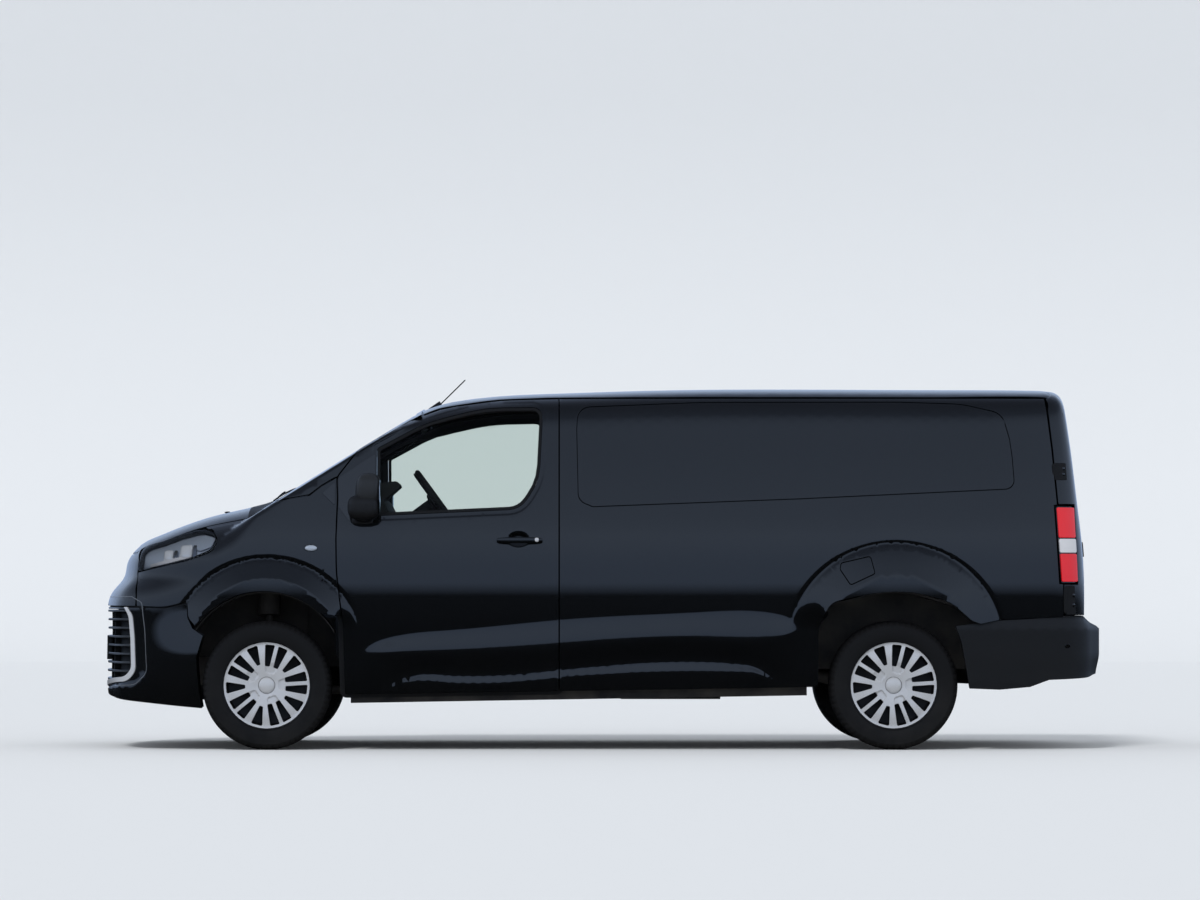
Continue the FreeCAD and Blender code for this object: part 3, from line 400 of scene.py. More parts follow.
def triangulated(loops: list[Array], extra: Array) -> tuple[Array, list[tuple[int, ...]]]:
    """Triangles between loops and through extra points.

    Args:
        loops: The outer loop, then the loops of holes.
        extra: Further points inside.

    Returns:
        The flat points, loops first in their own order, and the triangles.
    """
    edges, base = [], 0
    for loop in loops:
        n = len(loop)
        edges += [(base + k, base + (k + 1) % n) for k in range(n)]
        base += n
    points = np.vstack(loops + ([extra] if len(extra) else []))
    found = delaunay_2d_cdt([Vector(p) for p in points], edges, [], 0, 1e-4)
    verts, faces = np.array([v[:] for v in found[0]]), np.array([f[:] for f in found[2]])
    middle = verts[faces].mean(axis=1)
    keep = inside_loop(middle, loops[0])
    for hole in loops[1:]:
        keep &= ~inside_loop(middle, hole)
    return verts, [tuple(int(i) for i in f) for f in faces[keep]]


def inside_loop(points: Array, loop: Array) -> Array:
    """Which points lie inside a closed loop.

    Args:
        points: Flat points, one a row.
        loop: The loop's points.

    Returns:
        One truth value a point.
    """
    inside = np.zeros(len(points), bool)
    x, y = points.T
    for a, b in zip(loop, np.roll(loop, -1, axis=0)):
        if abs(b[1] - a[1]) > 1e-9:
            crossing = (a[1] > y) != (b[1] > y)
            inside ^= crossing & (x < a[0] + (y - a[1]) / (b[1] - a[1]) * (b[0] - a[0]))
    return inside


def ring_faces(rows: int, count: int) -> list[tuple[int, ...]]:
    """Quads of bands between rows of points that each run round in a ring."""
    return [(r * count + k, r * count + (k + 1) % count, (r + 1) * count + (k + 1) % count, (r + 1) * count + k)
            for r in range(rows) for k in range(count)]


class PanelMaker:
    """Builds panels of the body: outer face, turned edges and inner face."""

    EDGE = 1.6

    def __init__(self, surface: BodySurface) -> None:
        """Keeps the outer surface that panels are laid on."""
        self.surface = surface

    def laid(self, chart: Chart, uv: Array, relief: Relief, lift: float = 0.0) -> tuple[Array, Array]:
        """Carries flat points onto the body with their relief.

        Args:
            chart: How flat points are laid on.
            uv: The flat points.
            relief: Height of the pressing at flat points.
            lift: Height added everywhere.

        Returns:
            Points and normals.
        """
        def place(at: Array) -> tuple[Array, Array]:
            start, way = chart.rays(at)
            p = self.surface.hit(start, way)
            n = self.surface.normal(p)
            return p + n * (relief(at[:, 0], at[:, 1]) + lift)[:, None], n

        points, plain = place(uv)
        if relief is no_relief:
            return points, plain
        along = place(uv + [1.0, 0.0])[0] - place(uv - [1.0, 0.0])[0]
        up = place(uv + [0.0, 1.0])[0] - place(uv - [0.0, 1.0])[0]
        n = np.cross(along, up)
        n *= np.sign(np.einsum("ij,ij->i", n, plain))[:, None]
        return points, n / np.linalg.norm(n, axis=1)[:, None]

    def panel(self, chart: Chart, outline: Outline, holes: Sequence[Outline] = (),
              relief: Relief = no_relief, depth: float = PANEL_DEPTH, grid: float = 26.0,
              guides: Sequence[Array] = (), lift: float = 0.0, inner: bool = True) -> Shell:
        """One panel as a closed piece.

        Args:
            chart: How its outline is laid on the body.
            outline: Its flat outline.
            holes: Flat outlines cut out of it.
            relief: Height of its pressings.
            depth: Depth of its edges, and place of its inner face.
            grid: Spacing of the points between its edges.
            guides: Flat points that its triangles have to pass through.
            lift: Height added everywhere.
            inner: Whether it has an inner face.

        Returns:
            The piece, with material 0 outside and 1 inside.
        """
        loops = [outline.inset(self.EDGE).points] + [h.inset(-self.EDGE).points for h in holes]
        outers = [outline.points] + [h.points for h in holes]
        low, high = outline.points.min(0), outline.points.max(0)
        u, v = np.meshgrid(np.arange(low[0] + grid / 2, high[0], grid),
                           np.arange(low[1] + grid / 2, high[1], grid))
        v = v + (np.arange(u.shape[1]) % 2)[None, :] * grid / 2
        extra = np.stack([u.ravel(), v.ravel()], 1)
        if len(guides):
            lines = np.vstack(guides)
            near = np.min(np.linalg.norm(extra[:, None] - lines[None, ::3], axis=2), axis=1)
            extra = np.vstack([extra[near > grid * 0.42], lines])
        clear = outline.distance(extra[:, 0], extra[:, 1]) > grid * 0.4
        for hole in holes:
            clear &= hole.distance(extra[:, 0], extra[:, 1]) < -grid * 0.4
        flat, faces = triangulated(loops, extra[clear])
        points, normals = self.laid(chart, flat, relief, lift)
        shell = Shell(points, normals, [tuple(f) for f in faces], [0] * len(faces))
        if inner:
            smooth = self.laid(chart, flat, no_relief, lift)[0] if relief is not no_relief else points
            plain = self.surface.normal(smooth)
            back = Shell(smooth - plain * depth, -plain, [f[::-1] for f in faces], [1] * len(faces))
            shell = shell.joined(back)
        for loop, outer in zip(loops, outers):
            shell = shell.joined(self._edge(chart, loop, outer, relief, depth, lift))
        return outward(shell)

    def _edge(self, chart: Chart, loop: Array, outer: Array, relief: Relief, depth: float,
              lift: float) -> Shell:
        """The rounded, turned-in edge along one loop."""
        top, up = self.laid(chart, loop, relief, lift)
        rim, n = self.laid(chart, outer, relief, lift)
        plain = self.laid(chart, outer, no_relief, lift)[0]
        away = rim - top
        away -= np.einsum("ij,ij->i", away, n)[:, None] * n
        away /= np.maximum(np.linalg.norm(away, axis=1), 1e-6)[:, None]
        rows = [
            (top, up),
            (rim - n * self.EDGE * 0.3 - away * self.EDGE * 0.3, (n + away) / math.sqrt(2)),
            (rim - n * self.EDGE, away),
            (plain - n * depth, away),
        ]
        faces = ring_faces(len(rows) - 1, len(loop))
        return Shell(np.vstack([r[0] for r in rows]), np.vstack([r[1] for r in rows]), faces, [0] * len(faces))


# Side view outlines of the panels: x, z, corner radius.
DOOR_TOP = ((-1399, 1100), (-1391, 1313, 300), (-1396, 1425, 60), (-1281, 1573), (-1071, 1697, 900),
            (-862, 1790, 500), (-548, 1834, 900))
DOOR = ((-1356, 288, 12), (-1366, 687, 900), (-1396, 920, 500)) + DOOR_TOP + (
    (DOOR_REAR_X, RAIL_Z, 10), (DOOR_REAR_X, 306, 12))
DOOR_WINDOW = ((-1187, 1222, 12), (-1187, 1575, 25), (-914, 1722, 800), (-620, 1795, 700),
               (-318, 1797, 55), (-338, 1400, 300), (-440, 1256, 120))
SLIDING_DOOR = ((DOOR_REAR_X, 375, 10), (DOOR_REAR_X, 1800, 10), (868, 1806, 60), (868, 375, 60))
WING_FOOT = ((-2455, 748, 8), (-2300, 742, 200), (-2178, 770, 20), (-2172, 690, 60))
WING_TOP = ((-1446, 704, 20), (-1366, 692), (-1396, 920, 500), (-1399, 1100), (-1391, 1313, 300),
            (-1396, 1425), (-1478, 1378, 10), (-1540, 1330), (-1755, 1295), (-1792, 1262, 60),
            (-1860, 1213, 200), (-1965, 1183, 400), (-2080, 1163), (-2016, 1130, 60), (-2040, 1040, 60),
            (-2174, 992, 250), (-2384, 946), (-2455, 930, 8))
LOAD_TOP = ((DOOR_REAR_X, 306, 8), (DOOR_REAR_X, RAIL_Z), (2313, RAIL_Z), (2344, 1576), (2370, 1278),
            (2353, 1276), (2378, 869), (2399, 868), (2402, 692, 8))
LOAD_FOOT = ((2050, 673), (1960, 655, 20), (1912, 672, 60), (1800, 770, 300), (1600, 826, 500),
             (1400, 815, 700), (1180, 768, 90), (1120, 640, 150), (1118, 326, 20))
HEADLAMP = ((-2462, 925, 15), (-2440, 1062, 60), (-2305, 1112, 200), (-2110, 1163, 120),
            (-2016, 1130, 40), (-2045, 1045, 60), (-2174, 990, 200))
TAIL_LAMP = ((2385, 872, 10), (2360, 1272, 10), (2462, 1272, 20), (2478, 872, 20))
LOAD_WINDOW = ((-145, 1680, 20), (-137, 1795, 70), (497, 1821, 2500), (1543, 1823, 2500),
               (1872, 1812, 400), (2080, 1762, 90), (2128, 1628, 700), (2146, 1362, 50),
               (1020, 1309), (-60, 1268, 20), (-137, 1300, 60))
FUEL_FLAP = ((1228, 942, 14), (1233, 975, 14), (1386, 1010, 14), (1410, 920, 14), (1282, 860, 14))
FRAME_RIM = 30.0
# Wheel arches: centre x, centre z, radius.
FRONT_FLARE = (-1762.0, 492.0, 500.0)
REAR_FLARE = (1520.0, 505.0, 566.0)
FRONT_ARCH = (-1774.5, 395.0, 430.0)

BAND_UPPER = Curve([(-1273, 512), (-1236, 545), (-1150, 585), (-1069, 606), (-809, 636), (-235, 690),
                    (496, 727), (809, 732), (920, 712), (1030, 672)])
BAND_LOWER = Curve([(-1273, 500), (-1150, 505), (-809, 512), (-235, 541), (496, 578), (991, 609),
                    (1030, 625)])
SILL_UPPER = Curve([(-1184, 291), (-1100, 352), (-1043, 379), (-800, 395), (-235, 421), (704, 452),
                    (800, 430), (900, 364)])
SILL_LOWER = Curve([(-1184, 285), (-1096, 333), (-800, 346), (-235, 374), (704, 406), (800, 396),
                    (900, 350)])


class SideRelief:
    """Pressings of the van's side, as height over the plain surface."""

    FLARE_LIP = 31.0
    FLARE_FOOT = 7.0
    FLARE_GROOVE = 5.0
    BAND_RISE = 13.0
    SILL_RISE = 8.0
    WINDOW_DEEP = 5.0
    # Centre x, centre z, half width, half height
    HANDLE_DENT = (-447.0, 1100.0, 66.0, 46.0)

    def __init__(self, window: bool = True, handle: bool = False) -> None:
        """Keeps whether there is a window pressing, and a cab door's window frame and dent."""
        self.window = Outline(LOAD_WINDOW) if window else None
        self.frame = Outline(DOOR_WINDOW).inset(-FRAME_RIM) if handle else None

    def flare(self, x: Array, z: Array, flare: Point, lip: float) -> Array:
        """Height of a wheel arch's flare.

        Args:
            x: Places along the van.
            z: Heights over the ground.
            flare: Centre and radius of its outer line.
            lip: Radius of the opening.

        Returns:
            The heights.
        """
        r = np.hypot(x - flare[0], z - flare[1])
        foot = (self.FLARE_FOOT + self.FLARE_GROOVE) * ease((flare[2] - r) / 9.0)
        groove = self.FLARE_GROOVE * ease((flare[2] + 34.0 - r) / 34.0)
        rise = (self.FLARE_LIP - self.FLARE_FOOT) * np.clip((flare[2] - r) / (flare[2] - lip), 0, 1.3)
        front = np.maximum((x + 1500.0) / 150.0, -1.0) * (x < -900)
        rear = np.maximum((1250.0 - x) / 150.0, -1.0) * (x > 500)
        low = 400.0 + 230.0 * ease(front + rear)
        return (foot + rise - groove) * ease((z - low) / 160.0)

    def bands(self, x: Array, z: Array) -> Array:
        """Height of the two swages between the wheels.

        Args:
            x: Places along the van.
            z: Heights over the ground.

        Returns:
            The heights.
        """
        top, foot = BAND_UPPER(x), BAND_LOWER(x)
        sill_top, sill_foot = SILL_UPPER(x), SILL_LOWER(x)
        along = ease((x + 1280.0) / 160.0) * ease((1040.0 - x) / 120.0)
        up = ease((top - z) / np.maximum(top - foot, 8.0))
        back = ease((foot - z) / np.maximum(foot - sill_top, 8.0))
        sill_along = ease((x + 1190.0) / 120.0) * ease((905.0 - x) / 120.0)
        sill = ease((sill_top - z) / np.maximum(sill_top - sill_foot, 8.0))
        return self.BAND_RISE * along * (up - 0.75 * back) + self.SILL_RISE * sill_along * sill

    def __call__(self, x: Array, z: Array) -> Array:
        """Height of all pressings.

        Args:
            x: Places along the van.
            z: Heights over the ground.

        Returns:
            The heights.
        """
        front = self.flare(x, z, FRONT_FLARE, 425.0) * (x < -900)
        rear = self.flare(x, z, REAR_FLARE, 440.0) * (x > 500)
        height = front + rear + self.bands(x, z) * (1 - ease(np.abs(front + rear) / 4.0))
        if self.window is not None:
            height = height - self.WINDOW_DEEP * ease(self.window.distance(x, z) / 12.0)
        if self.frame is not None:
            cx, cz, a, b = self.HANDLE_DENT
            reach = np.hypot((x - cx) / a, (z - cz) / b)
            height = height - 3.5 * ease(self.frame.distance(x, z) / 12.0) - 15.0 * ease((1.0 - reach) / 0.6)
        return height


def circle_line(flare: Point, offset: float, low: float) -> Array:
    """Points along a flare's line, above a height.

    Args:
        flare: Centre and radius.
        offset: How far outside the radius.
        low: Lowest height kept.

    Returns:
        Flat points.
    """
    angles = np.arange(-0.2, math.pi + 0.2, 13.0 / flare[2])
    x = flare[0] + (flare[2] + offset) * np.cos(angles)
    z = flare[1] + (flare[2] + offset) * np.sin(angles)
    return np.stack([x, z], 1)[z > low]


def curve_line(curve: Curve, low: float, high: float, offset: float) -> Array:
    """Flat points along a swage's edge, at an offset over its curve."""
    x = np.arange(low, high, 18.0)
    return np.stack([x, curve(x) + offset], 1)


def side_guides() -> list[Array]:
    """Flat points along every crisp line of the side.

    Returns:
        One array a line.
    """
    lines = [circle_line(f, o, 420.0) for f in (FRONT_FLARE, REAR_FLARE)
             for o in (34.0, 17.0, 0.0, -9.0, -36.0, -64.0, -92.0)]
    lines += [curve_line(BAND_UPPER, -1270, 1030, o) for o in (0.0, -14.0, -34.0)]
    lines += [curve_line(BAND_LOWER, -1200, 1000, o) for o in (12.0, 0.0)]
    lines += [curve_line(SILL_UPPER, -1180, 900, 0.0), curve_line(SILL_LOWER, -1180, 900, 0.0)]
    window = Outline(LOAD_WINDOW, 18.0)
    lines += [window.inset(o).points for o in (0.0, 6.0, 12.0)]
    lines += [circle_line(FRONT_ARCH, o, 420.0) for o in (8.0, 24.0, 44.0)]
    frame = Outline(DOOR_WINDOW, 18.0)
    lines += [frame.inset(o).points for o in (-30.0, -24.0, -18.0)]
    cx, cz, a, b = SideRelief.HANDLE_DENT
    lines += [np.array([(cx + k * a * math.cos(t), cz + k * b * math.sin(t))
                        for t in np.radians(np.arange(0, 360, 15))]) for k in (1.0, 0.75, 0.45)]
    return lines


def linked(name: str, data: bpy.types.ID) -> bpy.types.Object:
    """A new object of the scene."""
    made = bpy.data.objects.new(name, data)
    bpy.context.scene.collection.objects.link(made)
    return made


def make_mesh(name: str, shell: Shell, materials: Sequence[bpy.types.Material]) -> bpy.types.Object:
    """Blender object of a built piece, with its own normals.

    Args:
        name: Name of the piece.
        shell: The piece, in millimetres.
        materials: Its materials, in the order of its material indices.

    Returns:
        The object, linked to the scene.
    """
    mesh = bpy.data.meshes.new(name)
    mesh.from_pydata((shell.points * MM).tolist(), [], shell.faces)
    for material in materials:
        mesh.materials.append(material)
    mesh.polygons.foreach_set("material_index", shell.slots)
    mesh.polygons.foreach_set("use_smooth", [True] * len(mesh.polygons))
    mesh.update()
    mesh.normals_split_custom_set_from_vertices(shell.normals.tolist())
    return linked(name, mesh)


class Nodes:
    """Short way to build a node tree."""

    def __init__(self, tree: bpy.types.NodeTree) -> None:
        """Keeps the tree to build in."""
        self.tree = tree

    def put(self, node: bpy.types.Node, inputs: dict[str | int, object]) -> bpy.types.Node:
        """Sets or links inputs of a node.

        Args:
            node: The node.
            inputs: Values or output sockets for its inputs.

        Returns:
            The node.
        """
        for name, value in inputs.items():
            if isinstance(value, bpy.types.NodeSocket):
                self.tree.links.new(value, node.inputs[name])
            else:
                node.inputs[name].default_value = value
        return node

    def add(self, kind: str, inputs: dict[str | int, object] | None = None,
            **settings: object) -> bpy.types.Node:
        """Adds a node.

        Args:
            kind: Blender's name of the node type, without its leading word.
            inputs: Values or output sockets for its inputs.
            **settings: Values of its properties.

        Returns:
            The node.
        """
        node = self.tree.nodes.new(kind if kind.startswith("NodeGroup") else "ShaderNode" + kind)
        for name, value in settings.items():
            setattr(node, name, value)
        return self.put(node, inputs or {})

    def mix(self, share: object, first: object, second: object) -> bpy.types.NodeSocket:
        """Mixes two colours by the share of the second."""
        return self.add("Mix", {0: share, 6: first, 7: second}, data_type="RGBA").outputs[2]

    def spread(self, value: object, low: object, high: object) -> bpy.types.NodeSocket:
        """Maps a mask of 0 to 1 onto a range."""
        return self.add("MapRange", {"Value": value, "To Min": low, "To Max": high}).outputs[0]

    def shaders(self, share: object, first: bpy.types.Node, second: bpy.types.Node) -> bpy.types.Node:
        """Mixes two shaders by the share of the second."""
        return self.add("MixShader", {0: share, 1: first.outputs[0], 2: second.outputs[0]})

    def group(self, tree: bpy.types.NodeTree, **inputs: float) -> bpy.types.NodeSocket:
        """Places a node group and gives its output."""
        return self.add("Group", inputs, node_tree=tree).outputs[0]


def rgb(*levels: float) -> Colour:
    """Linear colour from display values of 0 to 255."""
    def linear(c: float) -> float:
        return c / 12.92 if c <= 0.04045 else ((c + 0.055) / 1.055) ** 2.4

    return (*(linear(c / 255) for c in levels), 1.0)


class Effects:
    """Node groups that several finishes share."""

    def __init__(self) -> None:
        """Builds the groups for moulded grain, road dust and metal flake."""
        nodes, given = self._start("moulded_grain", "Normal", "Vector", Scale=800.0, Strength=0.2)
        place = nodes.add("TexCoord")
        cells = nodes.add("TexVoronoi", {
            "Vector": place.outputs["Object"], "Scale": given.outputs["Scale"]}, feature="SMOOTH_F1")
        bump = nodes.add("Bump", {
            "Strength": given.outputs["Strength"], "Distance": 0.0006, "Height": cells.outputs["Distance"]})
        nodes.add("NodeGroupOutput", {"Normal": bump.outputs["Normal"]})
        self.grain = nodes.tree

        nodes, given = self._start("road_dust", "Mask", "Float", Top=0.7, Amount=0.3)
        place = nodes.add("NewGeometry")
        split = nodes.add("SeparateXYZ", {0: place.outputs["Position"]})
        low = nodes.add("MapRange", {
            "Value": split.outputs["Z"], "From Min": given.outputs["Top"], "From Max": 0.0,
            "To Min": 0.0, "To Max": given.outputs["Amount"]})
        cloud = nodes.add("TexNoise", {
            "Vector": place.outputs["Position"], "Scale": 5.0, "Detail": 8.0, "Roughness": 0.65})
        patch = nodes.add("MapRange", {"Value": cloud.outputs["Fac"], "From Min": 0.35, "From Max": 0.7})
        mask = nodes.add("Math", {0: low.outputs[0], 1: patch.outputs[0]}, operation="MULTIPLY")
        nodes.add("NodeGroupOutput", {"Mask": mask.outputs[0]})
        self.dust = nodes.tree

        nodes, given = self._start("metal_flake", "Mask", "Float", Scale=2600.0)
        place = nodes.add("TexCoord")
        cells = nodes.add("TexVoronoi", {"Vector": place.outputs["Object"], "Scale": given.outputs["Scale"]})
        split = nodes.add("SeparateColor", {0: cells.outputs["Color"]})
        bright = nodes.add("MapRange", {"Value": split.outputs[0], "From Min": 0.72, "From Max": 1.0})
        nodes.add("NodeGroupOutput", {"Mask": bright.outputs[0]})
        self.flake = nodes.tree

    @staticmethod
    def _start(name: str, result: str, kind: str, **inputs: float) -> tuple[Nodes, bpy.types.Node]:
        """Starts a node group with value inputs and one output.

        Args:
            name: Name of the group.
            result: Name of its output.
            kind: Type of its output.
            **inputs: Names and defaults of its inputs.

        Returns:
            The group's builder and its input node.
        """
        group = bpy.data.node_groups.new(name, "ShaderNodeTree")
        for title, default in inputs.items():
            group.interface.new_socket(
                title, in_out="INPUT", socket_type="NodeSocketFloat").default_value = default
        group.interface.new_socket(result, in_out="OUTPUT", socket_type="NodeSocket" + kind)
        nodes = Nodes(group)
        return nodes, nodes.add("NodeGroupInput")


def blank_tree(owner: bpy.types.Material | bpy.types.World) -> Nodes:
    """Empties the node tree of a material or a world and gives its builder."""
    owner.use_nodes = True
    owner.node_tree.nodes.clear()
    return Nodes(owner.node_tree)


@dataclass(frozen=True)
class Look:
    """A finish: its colour, how it shines, and the shared effects on it."""

    name: str
    colour: Colour
    rough: float
    metal: float = 0.0
    coat: float = 0.0
    coat_rough: float = 0.03
    coat_ior: float = 1.5
    specular: float = 0.5
    flake: tuple[float, Colour] | None = None
    dust: tuple[float, float, Colour] | None = None
    dusty_rough: float | None = None
    dusty_metal: float | None = None
    grain: tuple[float, float] | None = None

    def material(self, effects: Effects) -> bpy.types.Material:
        """Builds the material.

        Args:
            effects: The shared node groups.

        Returns:
            The material.
        """
        made = bpy.data.materials.new(self.name)
        nodes = blank_tree(made)
        shader = nodes.add("BsdfPrincipled")
        self.surface(nodes, shader)
        values = {"Base Color": self.colour, "Roughness": self.rough, "Metallic": self.metal,
                  "Coat Weight": self.coat, "Coat Roughness": self.coat_rough, "Coat IOR": self.coat_ior,
                  "Specular IOR Level": self.specular}
        if self.flake:
            scale, bright = self.flake
            values["Base Color"] = nodes.mix(nodes.group(effects.flake, Scale=scale), self.colour, bright)
        if self.dust:
            top, amount, dirt = self.dust
            mask = nodes.group(effects.dust, Top=top, Amount=amount)
            values["Base Color"] = nodes.mix(mask, values["Base Color"], dirt)
            if self.dusty_rough is not None:
                values["Roughness"] = nodes.spread(mask, self.rough, self.dusty_rough)
            if self.dusty_metal is not None:
                values["Metallic"] = nodes.spread(mask, self.metal, self.dusty_metal)
        if self.grain:
            scale, strength = self.grain
            values["Normal"] = nodes.group(effects.grain, Scale=scale, Strength=strength)
        nodes.put(shader, values)
        return made

    def surface(self, nodes: Nodes, shader: bpy.types.Node) -> None:
        """Joins the Principled shader to the output."""
        nodes.add("OutputMaterial", {"Surface": shader.outputs[0]})


@dataclass(frozen=True)
class Glass(Look):
    """Thin clear glass: see-through, with the reflection of its face."""

    tint: Colour = (1.0, 1.0, 1.0, 1.0)

    def surface(self, nodes: Nodes, shader: bpy.types.Node) -> None:
        """Mixes a see-through shader in, less at a flat angle."""
        clear = nodes.add("BsdfTransparent", {"Color": self.tint})
        fresnel = nodes.add("Fresnel", {"IOR": 1.52})
        share = nodes.add("Math", {0: fresnel.outputs[0], 1: 0.06}, operation="ADD")
        mixed = nodes.shaders(share.outputs[0], clear, shader)
        nodes.add("OutputMaterial", {"Surface": mixed.outputs[0]})


@dataclass(frozen=True)
class Cloth(Look):
    """Woven seat cloth."""

    thread: Colour = (1.0, 1.0, 1.0, 1.0)

    def material(self, effects: Effects) -> bpy.types.Material:
        """Adds the weave to the plain material."""
        made = super().material(effects)
        nodes = Nodes(made.node_tree)
        shader = nodes.tree.nodes["Principled BSDF"]
        place = nodes.add("TexCoord")
        weave = nodes.add("TexWave", {
            "Vector": place.outputs["Object"], "Scale": 260.0, "Distortion": 1.5, "Detail": 2.0})
        bump = nodes.add("Bump", {"Strength": 0.25, "Distance": 0.0008, "Height": weave.outputs["Fac"]})
        nodes.put(shader, {"Base Color": nodes.mix(weave.outputs["Fac"], self.colour, self.thread),
                           "Normal": bump.outputs[0], "Sheen Weight": 0.3})
        return made


def moulded(name: str, colour: Colour, rough: float, scale: float, strength: float) -> Look:
    """Grained moulded plastic with a little dust on it."""
    return Look(name, colour, rough, dust=(0.6, 0.06, rgb(104, 100, 94)), grain=(scale, strength))


def dirty(name: str, colour: Colour, rough: float, metal: float) -> Look:
    """Underbody metal with road dirt."""
    return Look(name, colour, rough, metal, dust=(1.6, 0.55, rgb(84, 78, 70)), dusty_metal=0.0)


def lamp_field(name: str, colour: Colour) -> Look:
    """Coloured lamp lens."""
    return Look(name, colour, 0.12, coat=0.8, coat_rough=0.02)


class Finish(Enum):
    """The finishes of the van."""

    PAINT = Look("black_paint", rgb(4, 5, 6), 0.3, coat=1.0, coat_rough=0.012, coat_ior=1.62, specular=0.12,
                 flake=(2600.0, rgb(15, 17, 21)), dust=(0.6, 0.02, rgb(96, 92, 86)), dusty_rough=0.6)
    INNER_PAINT = Look("inner_paint", rgb(24, 26, 30), 0.35, coat=0.4)
    GLOSS_BLACK = Look("gloss_black", rgb(10, 10, 11), 0.08, coat=1.0)
    SLAT = Look("slat_black", rgb(40, 43, 47), 0.3, coat=0.6)
    # Grey of the bezel's lip: a painted highlight for the light that its crease catches.
    LIP = Look("painted_lip_highlight", rgb(96, 100, 106), 0.35, metal=0.3, coat=0.6)
    TRIM = moulded("grained_trim", rgb(19, 20, 22), 0.5, 900.0, 0.22)
    MIRROR_SHELL = moulded("mirror_shell", rgb(34, 36, 39), 0.4, 1400.0, 0.10)
    SOFT_TRIM = moulded("soft_trim", rgb(46, 46, 49), 0.72, 700.0, 0.25)
    DASH_TOP = moulded("dash_top", rgb(62, 62, 64), 0.8, 600.0, 0.3)
    RUBBER = moulded("seal_rubber", rgb(18, 18, 19), 0.7, 1500.0, 0.1)
    FLOOR_BOARD = moulded("load_floor_board", rgb(96, 94, 92), 0.7, 300.0, 0.2)
    TYRE = Look("tyre_rubber", rgb(19, 19, 20), 0.68, specular=0.35, dust=(0.5, 0.14, rgb(80, 77, 72)))
    SILVER = Look("silver_lacquer", rgb(196, 198, 202), 0.34, metal=0.3, coat=0.35,
                  flake=(3200.0, rgb(230, 232, 234)))
    RIM_DARK = Look("rim_dark", rgb(34, 34, 36), 0.5, metal=0.6)
    CHROME = Look("chrome", rgb(205, 207, 210), 0.12, metal=1.0)
    SATIN = Look("satin_metal", rgb(204, 206, 210), 0.3, metal=0.3, coat=0.4)
    GLASS = Glass("window_glass", rgb(20, 22, 24), 0.0, coat=0.3, tint=rgb(240, 247, 243))
    LENS = Glass("clear_lens", rgb(20, 22, 24), 0.02, coat=0.3, tint=rgb(245, 247, 250))
    UNDERBODY = dirty("underbody", rgb(26, 26, 27), 0.75, 0.0)
    CASTING = dirty("casting", rgb(92, 90, 88), 0.6, 0.7)
    STEEL = dirty("bare_steel", rgb(120, 119, 117), 0.45, 0.9)
    CLOTH = Cloth("seat_cloth", rgb(44, 45, 49), 0.92, thread=rgb(68, 70, 75))
    RED = lamp_field("lamp_red", rgb(222, 16, 20))
    WHITE = lamp_field("lamp_white", rgb(205, 205, 208))
    OPTIC_GLASS = Look("optic_glass", rgb(232, 236, 242), 0.12, metal=0.2, coat=1.0)
    LAMP_GREY = Look("lamp_grey", rgb(172, 182, 196), 0.3, metal=0.3, coat=1.0)
    OPTIC = Look("lamp_optic", rgb(168, 172, 178), 0.18, metal=0.9)


SKIN = (Finish.PAINT, Finish.INNER_PAINT)
SEAL = (Finish.RUBBER, Finish.INNER_PAINT)


def arc(cx: float, cz: float, r: float, start: float, stop: float, count: int = 18) -> list[Point]:
    """Points along an arc, its angles in degrees."""
    angles = np.radians(np.linspace(start, stop, count + 1))
    return [(cx + r * math.cos(a), cz + r * math.sin(a)) for a in angles]


def box(u0: float, v0: float, u1: float, v1: float, *radius: float) -> list[Point]:
    """Corners of an upright rectangle, with one radius if any."""
    return [(u, v, *radius) for u, v in ((u0, v0), (u1, v0), (u1, v1), (u0, v1))]


def both_ways(half: Corners) -> list[Point]:
    """Closed corners from the half with positive u and its mirror image."""
    return list(half) + [(-c[0], *c[1:]) for c in reversed(half) if abs(c[0]) > 1e-6]


def oval(x: float, z: float, a: float, b: float, step: float = 6.0) -> Outline:
    """An elliptical outline of half sizes a and b."""
    return Outline([(x + a * math.cos(t), z + b * math.sin(t)) for t in np.radians(np.arange(0, 360, 12))], step)


def part_of_side() -> dict[str, Outline]:
    """Outlines of the side's panels, with the wheel openings taken out."""
    wing = [*WING_FOOT, *arc(*FRONT_ARCH, 145.0, 47.0), *WING_TOP]
    shapes = {"load": [*LOAD_TOP, *LOAD_FOOT], "wing": wing, "door": DOOR}
    return {name: Outline(corners).inset(SHUT / 2) for name, corners in shapes.items()}


def outward(shell: Shell) -> Shell:
    """Turns faces to agree with their normals."""
    index = np.array([f[:3] for f in shell.faces])
    a, b, c = (shell.points[index[:, k]] for k in range(3))
    facing = np.einsum("ij,ij->i", np.cross(b - a, c - a), shell.normals[index].sum(axis=1))
    shell.faces = [f if ok else f[::-1] for f, ok in zip(shell.faces, facing >= 0)]
    return shell


def moved(shell: Shell, x: float, y: float, z: float) -> Shell:
    """The piece moved."""
    return Shell(shell.points + [x, y, z], shell.normals, shell.faces, shell.slots)


def repainted(shell: Shell, slot: int) -> Shell:
    """The piece with one material index on all faces."""
    shell.slots = [slot] * len(shell.faces)
    return shell


def merged(shells: Sequence[Shell]) -> Shell:
    """Several pieces as one."""
    whole = shells[0]
    for shell in shells[1:]:
        whole = whole.joined(shell)
    return whole


def leaning(shell: Shell, foot: float, slope: float) -> Shell:
    """A piece sheared rearwards above its foot."""
    shell.points[:, 0] += (shell.points[:, 2] - foot) * slope
    return shell


def turned(shell: Shell, matrix: Corners) -> Shell:
    """A piece turned by a matrix."""
    turn = np.array(matrix, float)
    return Shell(shell.points @ turn.T, shell.normals @ turn.T, shell.faces, shell.slots)


